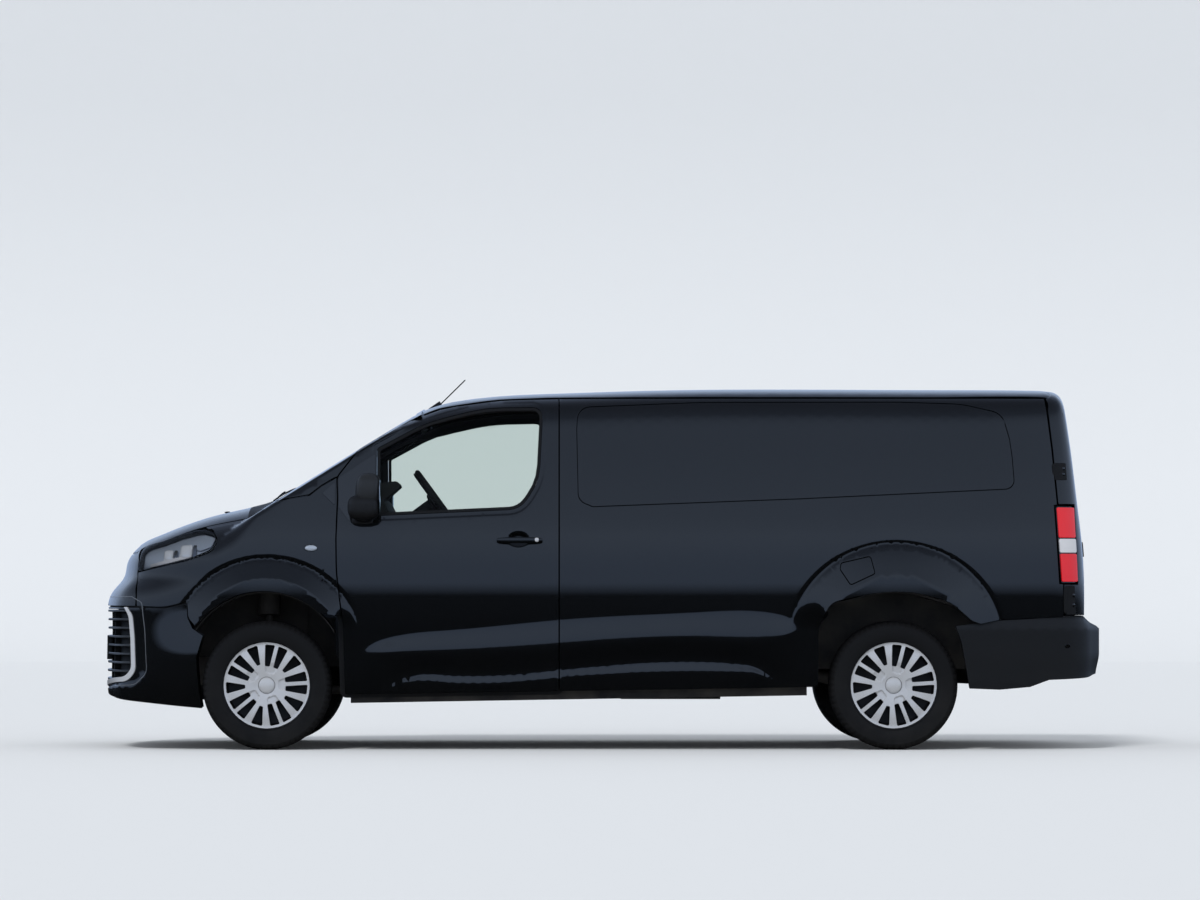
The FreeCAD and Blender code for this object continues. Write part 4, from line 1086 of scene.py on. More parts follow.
def tipped(shell: Shell, degrees: float) -> Shell:
    """A piece turned about the Y axis."""
    c, s = math.cos(math.radians(degrees)), math.sin(math.radians(degrees))
    return turned(shell, [[c, 0, s], [0, 1, 0], [-s, 0, c]])


def upright(shell: Shell) -> Shell:
    """A piece that the lathe made, stood on the Z axis."""
    return turned(shell, [[1, 0, 0], [0, 0, -1], [0, 1, 0]])


# Least agreement of two steps of a lathe's profile that are shaded as one
ROUND_OFF = 0.6


def lathe(rows: Sequence[tuple[float, float]], segments: int = 96, closed: bool = False) -> Shell:
    """A turned piece about the Y axis.

    Args:
        rows: Its profile as (radius, y), front to back.
        segments: Number of steps round the axis.
        closed: Whether the profile is a closed loop.

    Returns:
        The piece.
    """
    profile = np.array(rows, float)
    loop = np.vstack([profile, profile[:1]]) if closed else profile
    steps = np.diff(loop, axis=0)
    steps /= np.maximum(np.linalg.norm(steps, axis=1), 1e-6)[:, None]
    across = np.stack([-steps[:, 1], steps[:, 0]], 1)
    angles = np.linspace(0, 2 * math.pi, segments, endpoint=False)
    cos, sin = np.cos(angles), np.sin(angles)

    def ring(r: float, y: float) -> Array:
        return np.stack([r * cos, np.full(segments, y), r * sin], 1)

    points, normals, faces = [], [], []
    for k in range(len(steps)):
        for end, near in ((k, k - 1), (k + 1, k + 1)):
            n = across[k]
            if closed or 0 <= near < len(steps):
                other = across[near % len(steps)]
                if n @ other > ROUND_OFF:
                    n = n + other
            n = n / np.linalg.norm(n)
            points.append(ring(*loop[end]))
            normals.append(ring(*n))
        faces += [tuple(2 * k * segments + i for i in f) for f in ring_faces(1, segments)]
    return outward(Shell(np.vstack(points), np.vstack(normals), faces, [0] * len(faces)))


def pod(half: Sequence[float], place: Sequence[float], power: float = 3.0, rows: int = 16,
        columns: int = 28) -> Shell:
    """A rounded block.

    Args:
        half: Half its size along x, y and z.
        place: Its centre.
        power: 2 gives an ellipsoid, more gives a squarer block.
        rows: Steps from top to bottom.
        columns: Steps round it.

    Returns:
        The block.
    """
    lat = np.linspace(-math.pi / 2, math.pi / 2, rows + 1)[:, None]
    lon = np.linspace(0, 2 * math.pi, columns, endpoint=False)[None, :]
    unit = np.stack([np.cos(lat) * np.cos(lon), np.cos(lat) * np.sin(lon),
                     np.sin(lat) * np.ones_like(lon)], 2).reshape(-1, 3)
    on = unit / ((np.abs(unit) ** power).sum(1) ** (1 / power))[:, None]
    size = np.array(half, float)
    n = np.sign(on) * np.abs(on) ** (power - 1) / size
    n /= np.linalg.norm(n, axis=1)[:, None]
    faces = ring_faces(rows, columns)
    return outward(Shell(on * size + np.array(place, float), n, faces, [0] * len(faces)))


def tube(path: Sequence[Sequence[float]], radius: float, sides: int = 12) -> Shell:
    """A round bar along a path, with rounded ends.

    Args:
        path: Points along its middle.
        radius: Its radius.
        sides: Number of its sides.

    Returns:
        The bar.
    """
    line = np.array(path, float)
    way = np.gradient(line, axis=0)
    way /= np.linalg.norm(way, axis=1)[:, None]
    line = np.vstack([line[:1] - way[:1] * radius * 0.5, line, line[-1:] + way[-1:] * radius * 0.5])
    way = np.vstack([way[:1], way, way[-1:]])
    radii = np.array([radius * 0.5] + [radius] * (len(line) - 2) + [radius * 0.5])
    guess = np.array([0.0, 0.0, 1.0]) if abs(way[0][2]) < 0.8 else np.array([0.0, 1.0, 0.0])
    first = np.cross(way, guess)
    first /= np.linalg.norm(first, axis=1)[:, None]
    second = np.cross(way, first)
    angle = np.linspace(0, 2 * math.pi, sides, endpoint=False)
    out = first[:, None] * np.cos(angle)[None, :, None] + second[:, None] * np.sin(angle)[None, :, None]
    points = line[:, None] + out * radii[:, None, None]
    faces = ring_faces(len(line) - 1, sides)
    shell = Shell(points.reshape(-1, 3), out.reshape(-1, 3), faces, [0] * len(faces))
    caps = [tuple(range(sides)), tuple(range(sides, 2 * sides))]
    ends = Shell(np.vstack([points[0], points[-1]]), np.vstack([-np.repeat(way[:1], sides, 0),
                 np.repeat(way[-1:], sides, 0)]), caps, [0, 0])
    return outward(shell.joined(ends))


def block(low: Sequence[float], high: Sequence[float]) -> Shell:
    """A plain box between its lowest and its highest corner."""
    points, normals = [], []
    for axis in range(3):
        first, second = (axis + 1) % 3, (axis + 2) % 3
        for side, at in ((-1, low), (1, high)):
            for a, b in ((low, low), (high, low), (high, high), (low, high)):
                p = [0.0, 0.0, 0.0]
                p[axis], p[first], p[second] = at[axis], a[first], b[second]
                points.append(p)
                normals.append([side * float(k == axis) for k in range(3)])
    faces = [(k, k + 1, k + 2, k + 3) for k in range(0, len(points), 4)]
    return outward(Shell(np.array(points, float), np.array(normals, float), faces, [0] * len(faces)))


class Van:
    """Holds the body's surface and finishes, and lays pieces on the CAD bodies."""

    def __init__(self, frame: dict) -> None:
        self.frame = frame
        self.surface = BodySurface()
        self.maker = PanelMaker(self.surface)
        effects = Effects()
        self.materials = {finish: finish.value.material(effects) for finish in Finish}
        self.guides = side_guides()

    def piece(self, name: str, shell: Shell, finishes: Sequence[Finish], body: str = "root",
              slot: str = "", replaces: Sequence[str] = ()) -> bpy.types.Object:
        """Adds one built piece to the object.

        Args:
            name: Its name.
            shell: Its mesh.
            finishes: Its finishes, in the order of its material indices.
            body: The CAD body that carries it.
            slot: The record's material slot; not used.
            replaces: CAD nodes that it stands for.

        Returns:
            The piece.
        """
        made = make_mesh(name, shell, [self.materials[f] for f in finishes])
        self.carry(made, body, slot, replaces)
        return made

    @staticmethod
    def carry(made: bpy.types.Object, body: str, slot: str, replaces: Sequence[str]) -> None:
        """Lays a piece on its body and hides the CAD nodes that it stands for."""
        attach(made, body)
        if replaces:
            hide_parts(*replaces)
        log.info("%s on %s", made.name, body)

    def pair(self, name: str, shell: Shell, finishes: Sequence[Finish], body: str = "root",
             slot: str = "", replaces: str = "") -> None:
        """Adds a left piece and its mirror image.

        Args:
            name: Name of the piece, without its side.
            shell: The left mesh.
            finishes: Its finishes.
            body: The CAD body, with {} for the side where there is one each side.
            slot: The record's material slot; not used.
            replaces: CAD node that it stands for, with {} for the side.
        """
        for side, made in (("left", shell), ("right", shell.mirrored())):
            nodes = [replaces.format(side)] if replaces else []
            self.piece(f"{name}_{side}", made, finishes, body.format(side), slot, nodes)

    def point(self, chart: Chart, u: float, v: float) -> Array:
        """The body's point at one flat place."""
        return self.surface.hit(*chart.rays(np.array([[u, v]], float)))[0]

    def plan(self, side: Corners) -> list[Point]:
        """Plan points (x, y) of a line given by points (x, z) of the left side."""
        hits = self.surface.hit(*SIDE.rays(np.array(side, float)))
        return [(float(x), float(y)) for x, y, _ in hits]

    def corner(self, x: float) -> Point:
        """Half width and height of the place where top and side of the cab meet."""
        s, y, z = self.surface, 850.0, 0.0
        for _ in range(8):
            spread = y / s.CROWN_AT
            screen = SCREEN_BASE[1] + (x - SCREEN_BASE[0]) * s.SCREEN_SLOPE - s.SCREEN_CROWN * spread ** 2
            z = max(screen, float(s.BONNET(np.array(x))) - s.BONNET_CROWN * spread ** 4)
            y = float(s.SECTION(np.array(z))) - float(s.TAPER(np.array(x)))
        return y, z

    def carried(self, chart: Chart, side: Corners, step: float = 60.0) -> list[Point]:
        """Carries a side view line of the left side onto another chart.

        Args:
            chart: The chart that it goes to.
            side: Corners (x, z) of the line.
            step: Longest piece between its points.

        Returns:
            Points of the line on that chart.
        """
        line = [side[0]]
        for a, b in zip(side, side[1:]):
            count = max(1, int(math.dist(a, b) // step))
            line += [(a[0] + (b[0] - a[0]) * k / count, a[1] + (b[1] - a[1]) * k / count)
                     for k in range(1, count + 1)]
        hits = self.surface.hit(*SIDE.rays(np.array(line, float)))
        return [(chart_u(chart, x, y), z) for x, y, z in hits]

    def bonnet_outline(self, back: float = -1865.0) -> Outline:
        """Plan outline of the bonnet, up to its rear edge."""
        half = [(-2520, 250, 700), (-2470, 545, 140), (-2310, 694, 220), (back, 741, 15)]
        return Outline(half + [(x, -y, r) for x, y, r in reversed(half)], 26.0)

    def tail_outline(self) -> list[Point]:
        """Outer edge of the left rear door on the TAIL chart, with the notch for the tail lamp."""
        side = [(2404, 700), (2398, 866), (2478, 866), (2463, 1281), (2371, 1281), (2346, 1576), (2316, RAIL_Z)]
        edge = self.carried(TAIL, side)
        return edge + [(edge[-1][0] * 0.86, 1885.0)]


@dataclass
class Assembly:
    """A group of pieces that is built on the van."""

    van: Van

    def panel(self, chart: Chart, shape: Outline | Corners, holes: Sequence[Outline] = (),
              **how: object) -> Shell:
        """A panel with an inner face; how it is built is said as for PanelMaker."""
        outline = shape if isinstance(shape, Outline) else Outline(shape)
        return self.van.maker.panel(chart, outline, holes, **how)

    def sheet(self, chart: Chart, shape: Outline | Corners, holes: Sequence[Outline] = (), slot: int = 0,
              **how: object) -> Shell:
        """A panel without an inner face, with one material index."""
        return repainted(self.panel(chart, shape, holes, inner=False, **how), slot)


@dataclass
class Skins(Assembly):
    """The painted outer panels."""

    blank_gap: float = 3.2
    flap_gap: float = 1.7
    bumper_tuck: float = 19.0
    bezel_dent: float = 5.0

    def build(self) -> None:
        """Adds every panel."""
        self.sides()
        self.top()
        self.rear_doors()
        self.nose()

    def sides(self) -> None:
        """Load sides, sliding door, wings and cab doors."""
        van, guides = self.van, self.van.guides
        parts = part_of_side()
        plain = SideRelief(window=False)
        flap = Outline(FUEL_FLAP, 12.0).inset(-self.flap_gap)
        left = self.panel(SIDE, parts["load"], [flap, Outline(LOAD_WINDOW)], relief=plain, guides=guides)
        van.piece("load_side_left", left, SKIN, "root", "body_paint", ["side_panel_left"])
        blank = Outline(LOAD_WINDOW).inset(self.blank_gap)
        pane = self.sheet(SIDE, blank, lift=-1.5, depth=6, grid=50)
        bed = self.sheet(SIDE, blank.inset(-14.0), [blank.inset(14.0)], 1, lift=-9, depth=3, grid=50)
        van.piece("window_blank", pane.joined(bed), (Finish.PAINT, Finish.RUBBER))
        slider, relief = Outline(SLIDING_DOOR), SideRelief()
        frame = self.panel(SIDE, parts["load"], [slider.inset(-SHUT / 2)], relief=relief, guides=guides)
        van.piece("load_side_right", frame.mirrored(), SKIN, "root", "body_paint", ["side_panel_right"])
        door = self.panel(SIDE, slider.inset(SHUT / 2), relief=relief, guides=guides)
        van.piece("side_door", door.mirrored(), SKIN, "root", "body_paint", ["sliding_door"])
        cab = self.panel(SIDE, parts["door"], [Outline(DOOR_WINDOW)],
                         relief=SideRelief(window=False, handle=True), guides=guides)
        van.pair("cab_door", cab, SKIN, "front_door_{}", "body_paint", "front_door_{}")
        wing = self.panel(SIDE, parts["wing"], relief=plain, guides=guides, grid=16)
        van.piece("wings", wing.joined(wing.mirrored()), SKIN, "root", "body_paint", ["front_wings"])

    def top(self) -> None:
        """Roof and bonnet."""
        side = Outline(DOOR).points
        side = side[side[:, 1] > 1650]
        line = [(x, side[np.argmin(np.abs(side[:, 0] - x))][1] + SHUT) for x in range(-948, -380, 80)]
        line += [(x, RAIL_Z + SHUT) for x in (-300, 0, 300, 800, 1300, 1800, 2313)]
        rim = self.van.plan(line) + [(2440.0, -772.0)]
        roof = self.panel(TOP, Outline(rim + [(x, -y) for x, y in reversed(rim)], 40.0), grid=60)
        self.van.piece("roof_skin", roof, SKIN, "root", "body_paint", ["roof_panel"])
        lid = self.panel(TOP, self.van.bonnet_outline(), depth=26, grid=34)
        self.van.piece("bonnet_skin", lid, SKIN, "bonnet", "body_paint", ["bonnet"])

    def rear_doors(self) -> None:
        """Twin rear doors that wrap round the corners."""
        corners = [(-4.0, 700.0, 8)] + self.van.tail_outline() + [(-4.0, 1893.0)]
        shell = self.panel(TAIL, Outline(corners).inset(SHUT / 2))
        self.van.pair("rear_door_skin", shell, SKIN, "rear_door_{}", "body_paint", "rear_door_{}")

    def nose(self) -> None:
        """Front bumper."""
        rear = [(-2178, 766), (-2172, 690), (-2146, 636), (-2090, 598), (-2124, 480), (-2113, 322), (-2097, 216)]
        half = self.van.carried(NOSE, rear)[::-1]
        half += self.van.carried(NOSE, [(-2300, 742), (-2445, 746)]) + [(0, 752)]
        line = half + [(-u, z) for u, z in reversed(half[:-1])] + [(500, 268), (0, 292), (-500, 268)]
        bezel = Outline(both_ways(Front.bezel))

        def crease(u: Array, v: Array) -> Array:
            side = self.bumper_tuck * ease((np.abs(u) - 730.0) / 260.0) * ease((750.0 - v) / 300.0)
            return side - self.bezel_dent * ease((bezel.distance(u, v) + 3.0) / 7.0)

        shell = self.panel(NOSE, Outline(line).inset(SHUT / 2), [Outline(both_ways(Front.mouth))],
                           relief=crease, grid=30, guides=[bezel.inset(o).points for o in (4.0, 0.0, -3.0)])
        self.van.piece("bumper_skin", shell, SKIN, "root", "body_paint", ["front_bumper"])


class DiscMaker(PanelMaker):
    """Builds dished discs, such as a wheel's cover, from flat outlines."""

    def __init__(self, profile: Curve) -> None:
        """Keeps the disc's outward height over its radius."""
        self.profile = profile
        self.surface = self

    def normal(self, p: Array) -> Array:
        """Plain outward normals."""
        return np.tile([0.0, -1.0, 0.0], (len(p), 1))

    def laid(self, chart: Chart, uv: Array, relief: Relief, lift: float = 0.0) -> tuple[Array, Array]:
        """Carries flat points onto the disc.

        Args:
            chart: Not used.
            uv: The flat points (x, z).
            relief: Height of its pressings.
            lift: Height added everywhere.

        Returns:
            Points and normals.
        """
        def height(at: Array) -> Array:
            return self.profile(np.hypot(at[:, 0], at[:, 1])) + relief(at[:, 0], at[:, 1]) + lift

        slope_u = (height(uv + [0.7, 0]) - height(uv - [0.7, 0])) / 1.4
        slope_v = (height(uv + [0, 0.7]) - height(uv - [0, 0.7])) / 1.4
        n = np.stack([-slope_u, -np.ones(len(uv)), -slope_v], 1)
        n /= np.linalg.norm(n, axis=1)[:, None]
        return np.stack([uv[:, 0], -height(uv), uv[:, 1]], 1), n


@dataclass
class Wheels(Assembly):
    """The road wheels: tyre with tread, rim, brake disc and silver cover."""

    groups: int = 5
    first_group: float = 75.5
    cover_r: float = 233.0
    cap_r: float = 42.0
    cap_y: float = -86.0
    cap_rise: float = 9.0
    recess_depth: float = 7.0
    dish: Curve = Curve([(0, 86), (42, 86), (60, 88), (120, 93), (180, 93), (215, 90), (235, 93)])
    # Corners of the openings: place along the group's axis, place across it, corner radius
    inner_slot: Corners = ((97, 10, 6), (213, 10, 6), (205, 61, 8), (95, 34, 8))
    outer_slot: Corners = ((112, -9, 6), (112, 9, 6), (212, 31, 8), (212, -31, 8))
    recess: Corners = ((62, -24, 12), (62, 24, 12), (90, 31, 10), (120, 36, 8), (120, -36, 8), (90, -31, 10))
    # Profiles as (radius, y)
    barrel: Corners = ((236, -92), (240, -99), (234, -102), (226, -96), (220, -80), (206, -66), (204, 60),
                       (214, 78), (228, 92), (240, 97), (240, 92), (222, 70), (222, -74), (236, -92))
    hub_face: Corners = ((40, -56), (90, -50), (120, -34), (160, -38), (203, -44), (203, -36), (160, -30),
                         (120, -26), (40, -40))
    brake: Corners = ((62, 12), (66, -12), (78, -13), (80, 2), (146, 2), (146, 24), (60, 24))
    sidewall: Corners = ((224, 88), (228, 97), (240, 103), (262, 107), (285, 107.4), (300, 105.5),
                         (306, 104.5), (308, 105.5), (316, 101), (324, 94), (331, 85), (335, 72))
    # Places across the tread and the depth of the tread there
    tread: Corners = ((60, 0), (59, 8), (51, 8), (50, 0), (24, 0), (23, 8), (14, 8), (13, 0), (2, 0))
    blocks: int = 64
    steps: int = 5

    def build(self) -> None:
        """Adds the four road wheels."""
        cover, rim, tyre = self.cover(), self.rim(), self.tyre()
        for row, x in (("front", FRONT_AXLE_X), ("rear", REAR_AXLE_X)):
            place = (x, -TRACK[row] / 2, TYRE_R)
            body = f"road_wheel_{row}_{{}}"
            self.van.pair(f"cover_{row}", moved(cover, *place), [Finish.SILVER], body, "wheel_silver")
            self.van.pair(f"rim_{row}", moved(rim, *place), (Finish.RIM_DARK, Finish.STEEL), body,
                          "wheel_silver", f"wheel_{row}_{{}}")
            self.van.pair(f"tread_{row}", moved(tyre, *place), [Finish.TYRE], body, "tyre", f"tyre_{row}_{{}}")

    @staticmethod
    def turned(corners: Corners, angle: float) -> Outline:
        """An outline on an axis turned about the hub, in degrees."""
        c, s = math.cos(math.radians(angle)), math.sin(math.radians(angle))
        return Outline([(u * c - v * s, u * s + v * c, r) for u, v, r in corners], 14.0)

    def cover(self) -> Shell:
        """The silver cover with its fifteen spokes and domed cap, round the origin."""
        holes, recesses, pitch = [], [], 360.0 / self.groups
        for k in range(self.groups):
            angle = self.first_group + pitch * k
            holes.append(self.turned(self.inner_slot, angle))
            holes.append(self.turned([(u, -v, r) for u, v, r in self.inner_slot], angle))
            holes.append(self.turned(self.outer_slot, angle + pitch / 2))
            recesses.append(self.turned(self.recess, angle))

        def relief(u: Array, v: Array) -> Array:
            height = np.zeros(len(u))
            for recess in recesses:
                height -= self.recess_depth * ease((recess.distance(u, v) + 1.0) / 7.0)
            r = np.hypot(u, v)
            return height * (1 - ease((r - 96) / 34)) + 3.0 * ease((r - 222) / 6)

        rim = Outline(arc(0, 0, self.cover_r, 0, 357, 119), 14.0)
        bore = Outline(arc(0, 0, self.cap_r + 2, 0, 354, 59), 14.0)
        guides = [r.inset(o).points for r in recesses for o in (1.0, -2.0, -6.0)]
        plate = DiscMaker(self.dish).panel(SIDE, rim, holes + [bore], relief, depth=14, grid=7.5,
                                           guides=guides)
        dome = [(r, self.cap_y - self.cap_rise * math.sqrt(max(0.0, 1 - (r / self.cap_r) ** 2)))
                for r in np.linspace(0.5, self.cap_r, 10)]
        return repainted(plate, 0).joined(lathe(dome + [(self.cap_r + 1, self.cap_y + 8)], 48))

    def rim(self) -> Shell:
        """The steel rim and hub face behind the cover, with the brake disc as material 1."""
        return merged([lathe(self.barrel, 72), lathe(self.hub_face, 60), repainted(lathe(self.brake, 72), 1)])

    def tyre(self) -> Shell:
        """The tyre with grooves round its tread and blocks on its shoulders, round the origin."""
        side = list(self.sidewall) + [(TYRE_R - 0.6 - depth, float(y)) for y, depth in self.tread]
        r, y = np.array(side + [(r, -y) for r, y in reversed(side)], float).T
        count = self.blocks * self.steps
        k = np.arange(count)
        shoulder = ease((r - 312) / 8) * (np.abs(y) > 61)
        crown = ((np.abs(y) < 50) & (np.abs(y) > 24)) * 1.0
        angle = 2 * math.pi * k / count
        sunk = r[:, None] - 5.5 * shoulder[:, None] * (k % self.steps < 1)[None, :]
        sunk -= 4.0 * crown[:, None] * ((k + 2) % self.steps < 1)[None, :]
        points = np.stack([sunk * np.cos(angle), np.repeat(y[:, None], count, 1), sunk * np.sin(angle)], 2)
        flat = points.reshape(-1, 3)
        du = np.roll(points, -1, axis=1) - np.roll(points, 1, axis=1)
        dv = np.gradient(points, axis=0)
        n = np.cross(du.reshape(-1, 3), dv.reshape(-1, 3))
        n /= np.maximum(np.linalg.norm(n, axis=1), 1e-9)[:, None]
        centre = flat * [1, 0, 1]
        away = flat - centre * (280 / np.maximum(np.linalg.norm(centre, axis=1), 1))[:, None]
        n *= np.sign(np.einsum("ij,ij->i", n, away))[:, None]
        faces = ring_faces(len(r) - 1, count)
        return outward(Shell(flat, n, faces, [0] * len(faces)))


@dataclass
class Front(Assembly):
    """The nose: its panel, grille, headlamps and small parts."""

    slats: int = 9
    slat_top: float = 726.0
    slat_pitch: float = 45.2
    slat_half: float = 694.0
    mouth: Corners = ((0, 317), (676, 360, 80), (720, 414, 60), (714, 584, 300), (703, 700, 60), (668, 736, 10))
    strip_out: Corners = ((0, 313), (680, 356, 80), (724, 412, 60), (718, 584, 300), (707, 702, 60), (674, 746))
    strip_in: Corners = ((652, 746), (684, 700, 60), (695, 584, 300), (700, 422, 50), (662, 380, 70), (0, 337))
    bezel: Corners = ((0, 292), (720, 338, 60), (784, 400, 60), (776, 620, 400), (760, 770, 20), (700, 800))
    # Optics: centre x, centre z, half width, half height
    lamp_blocks: Corners = ((-2291, 1022, 25, 33), (-2194, 1041, 33, 41))
    light_strip: Corners = ((-2392, 953), (-2290, 976), (-2180, 1003), (-2158, 1014), (-2166, 1024),
                            (-2290, 997), (-2388, 972))
    lamp_rear: Corners = ((-2140, 1040, 20), (-2060, 1070, 20), (-2040, 1120, 20), (-2110, 1146, 30),
                          (-2138, 1110, 20))
    repeater: Point = (-1529, 1054, 32, 15)
    beam_setback: float = 0.05

    def build(self) -> None:
        """Adds every piece of the nose."""
        self.nose_panel()
        self.grille()
        self.headlamps()
        self.small_parts()

    def nose_panel(self) -> None:
        """Painted panel between bumper, headlamps and bonnet."""
        van = self.van
        edge = [(chart_u(NOSE, x, y), van.point(TOP, x, -y)[2])
                for x, y in ((-2470, 545), (-2503, 420), (-2519, 250), (-2520, 0))]
        foot = van.carried(NOSE, [(-2455, 748), (-2455, 928), (-2440, 1062)])
        half = [(0.0, 752.0)] + [(abs(u), z) for u, z in foot] + edge
        shell = self.panel(NOSE, Outline(both_ways(half)).inset(SHUT / 2), depth=30, grid=30)
        van.piece("nose_skin", shell, SKIN, "root", "body_paint", ["nose_panel"])
        joint = self.panel(NOSE, both_ways([(0, 738), (980, 734), (980, 800), (0, 776)]),
                           depth=3, lift=-12, grid=60)
        side = self.panel(NOSE, [(-800, 770), (-660, 770), (-620, 1010), (-790, 960)],
                          depth=3, lift=-36, grid=60)
        van.piece("nose_backing", merged([joint, side, side.mirrored()]), (Finish.RUBBER, Finish.RUBBER))

    def grille(self) -> None:
        """Nine curved slats, the silver strip round them, a grey ring painted as the highlight of the bezel's
        crease, and the dark back of the mouth.
        """
        parts = []
        for k in range(self.slats):
            z = self.slat_top - self.slat_pitch * k
            half = self.slat_half - (40.0 if k == self.slats - 1 else 0.0)
            parts.append(self.sheet(NOSE, box(-half, z - 5.5, half, z + 5.5, 3), depth=38, lift=-3,
                                    grid=40))
        parts.append(self.sheet(NOSE, Outline(both_ways(self.mouth)).inset(-8.0), slot=1, depth=4,
                                lift=-56, grid=60))
        for u, half, lift in ((0, 14, -22.0), *((u, 9, -24.0) for u in (-430, -215, 215, 430))):
            parts.append(self.sheet(NOSE, box(u - half, 330, u + half, 730), slot=1, depth=30, lift=lift))
        self.van.piece("grille_slats", merged(parts), (Finish.SLAT, Finish.RUBBER), "root", "gloss_trim", ["grille"])
        loop = [(-c[0], *c[1:]) for c in reversed(self.strip_out[1:])] + list(self.strip_out + self.strip_in)
        loop += [(-c[0], *c[1:]) for c in reversed(self.strip_in[:-1])]
        strip = self.sheet(NOSE, loop, depth=16, lift=1)
        # Grey ring along the bezel's lip: a painted highlight laid on the real crease that the bumper's relief
        # presses there.
        outer = Outline(both_ways(self.bezel))
        lip = self.sheet(NOSE, outer.inset(-2.5), [outer.inset(2.5)], 1, depth=6, lift=0.5)
        self.van.piece("grille_strip_and_lip_highlight", strip.joined(lip), (Finish.SATIN, Finish.LIP))
        holder = self.sheet(NOSE, box(-262, 466, 262, 594, 8), depth=26, lift=3)
        self.van.piece("plate_holder", holder, [Finish.TRIM])

    def headlamps(self) -> None:
        """Clear lens over a grey housing with two optics and a light strip."""
        zone = Outline(HEADLAMP).inset(SHUT / 2)
        self.van.pair("lamp_lens", self.sheet(SIDE, zone, depth=5, grid=24), [Finish.LENS], "root",
                      "lamp_clear")
        parts = [self.sheet(SIDE, zone, [zone.inset(5.0)], depth=24, lift=-2.5),
                 self.sheet(SIDE, zone, slot=4, depth=3, lift=-30, grid=20),
                 self.sheet(SIDE, zone, [zone.inset(3.0)], 4, depth=26, lift=-5)]
        for x, z, a, b in self.lamp_blocks:
            def dome(u: Array, v: Array) -> Array:
                return 9.0 * np.clip(1 - ((u - x) / a) ** 4 - ((v - z) / b) ** 4, 0, 1)

            frame = Outline([(x - a - 4, z - b, 12), (x + a, z - b + 5, 12), (x + a + 2, z + b + 2, 12),
                             (x - a + 4, z + b - 5, 12)], 8.0)
            hood = Outline([(x + a + 3, z - b, 5), (x + a + 22, z - b + 6, 5), (x + a + 24, z + b, 5),
                            (x + a + 6, z + b, 5)], 12.0)
            parts += [self.sheet(SIDE, frame, slot=1, relief=dome, depth=22, lift=-14, grid=9),
                      self.sheet(SIDE, hood, slot=2, depth=14, lift=-18)]
        for corners, slot, lift in ((self.light_strip, 3, -9.0), (self.lamp_rear, 4, -20.0)):
            parts.append(self.sheet(SIDE, Outline(corners, 12.0), slot=slot, depth=18, lift=lift))
        self.van.pair("lamp_bowl", merged(parts), (Finish.GLOSS_BLACK, Finish.OPTIC_GLASS, Finish.OPTIC,
                                                   Finish.WHITE, Finish.LAMP_GREY),
                      "root", "lamp_clear", "headlamps")

    def small_parts(self) -> None:
        """Side repeaters, bumper sensors, front rails and washer jets."""
        x, z, a, b = self.repeater

        def dome(u: Array, v: Array) -> Array:
            return 5.0 * np.sqrt(np.clip(1 - ((u - x) / a) ** 2 - ((v - z) / b) ** 2, 0, 1))

        lamp = self.sheet(SIDE, oval(x, z, a, b, 4.0), relief=dome, depth=8, lift=1, grid=6)
        rim = self.sheet(SIDE, oval(x, z, a + 5, b + 5, 4.0), [oval(x, z, a, b, 4.0)], 1, depth=8, lift=1.6)
        self.van.pair("side_repeater", lamp.joined(rim), (Finish.LAMP_GREY, Finish.GLOSS_BLACK))
        sensor = self.sheet(SIDE, oval(-2164, 497, 10, 10, 3.0), depth=6, lift=1.5, grid=5)
        self.van.pair("front_sensor", sensor, [Finish.GLOSS_BLACK])
        self.rails()
        jets = [pod((16, 10, 5), (-2010, side * 250, self.van.point(TOP, -2010, 250)[2] + 3), 2.5, 8, 14)
                for side in (-1, 1)]
        self.van.piece("washer_jets", merged(jets), [Finish.TRIM], "bonnet")

    def rails(self) -> None:
        """The CAD front structure, with its upper beam set back under the rounder skin."""
        rails = self.van.frame["nodes"]["front_structure"].data.copy()
        for vertex in rails.vertices:
            if vertex.co.x < -2.48 and vertex.co.z > 0.9:
                vertex.co.x += self.beam_setback
        rails.materials.clear()
        rails.materials.append(self.van.materials[Finish.UNDERBODY])
        self.van.carry(linked("front_rails", rails), "root", "chassis", ["front_structure"])


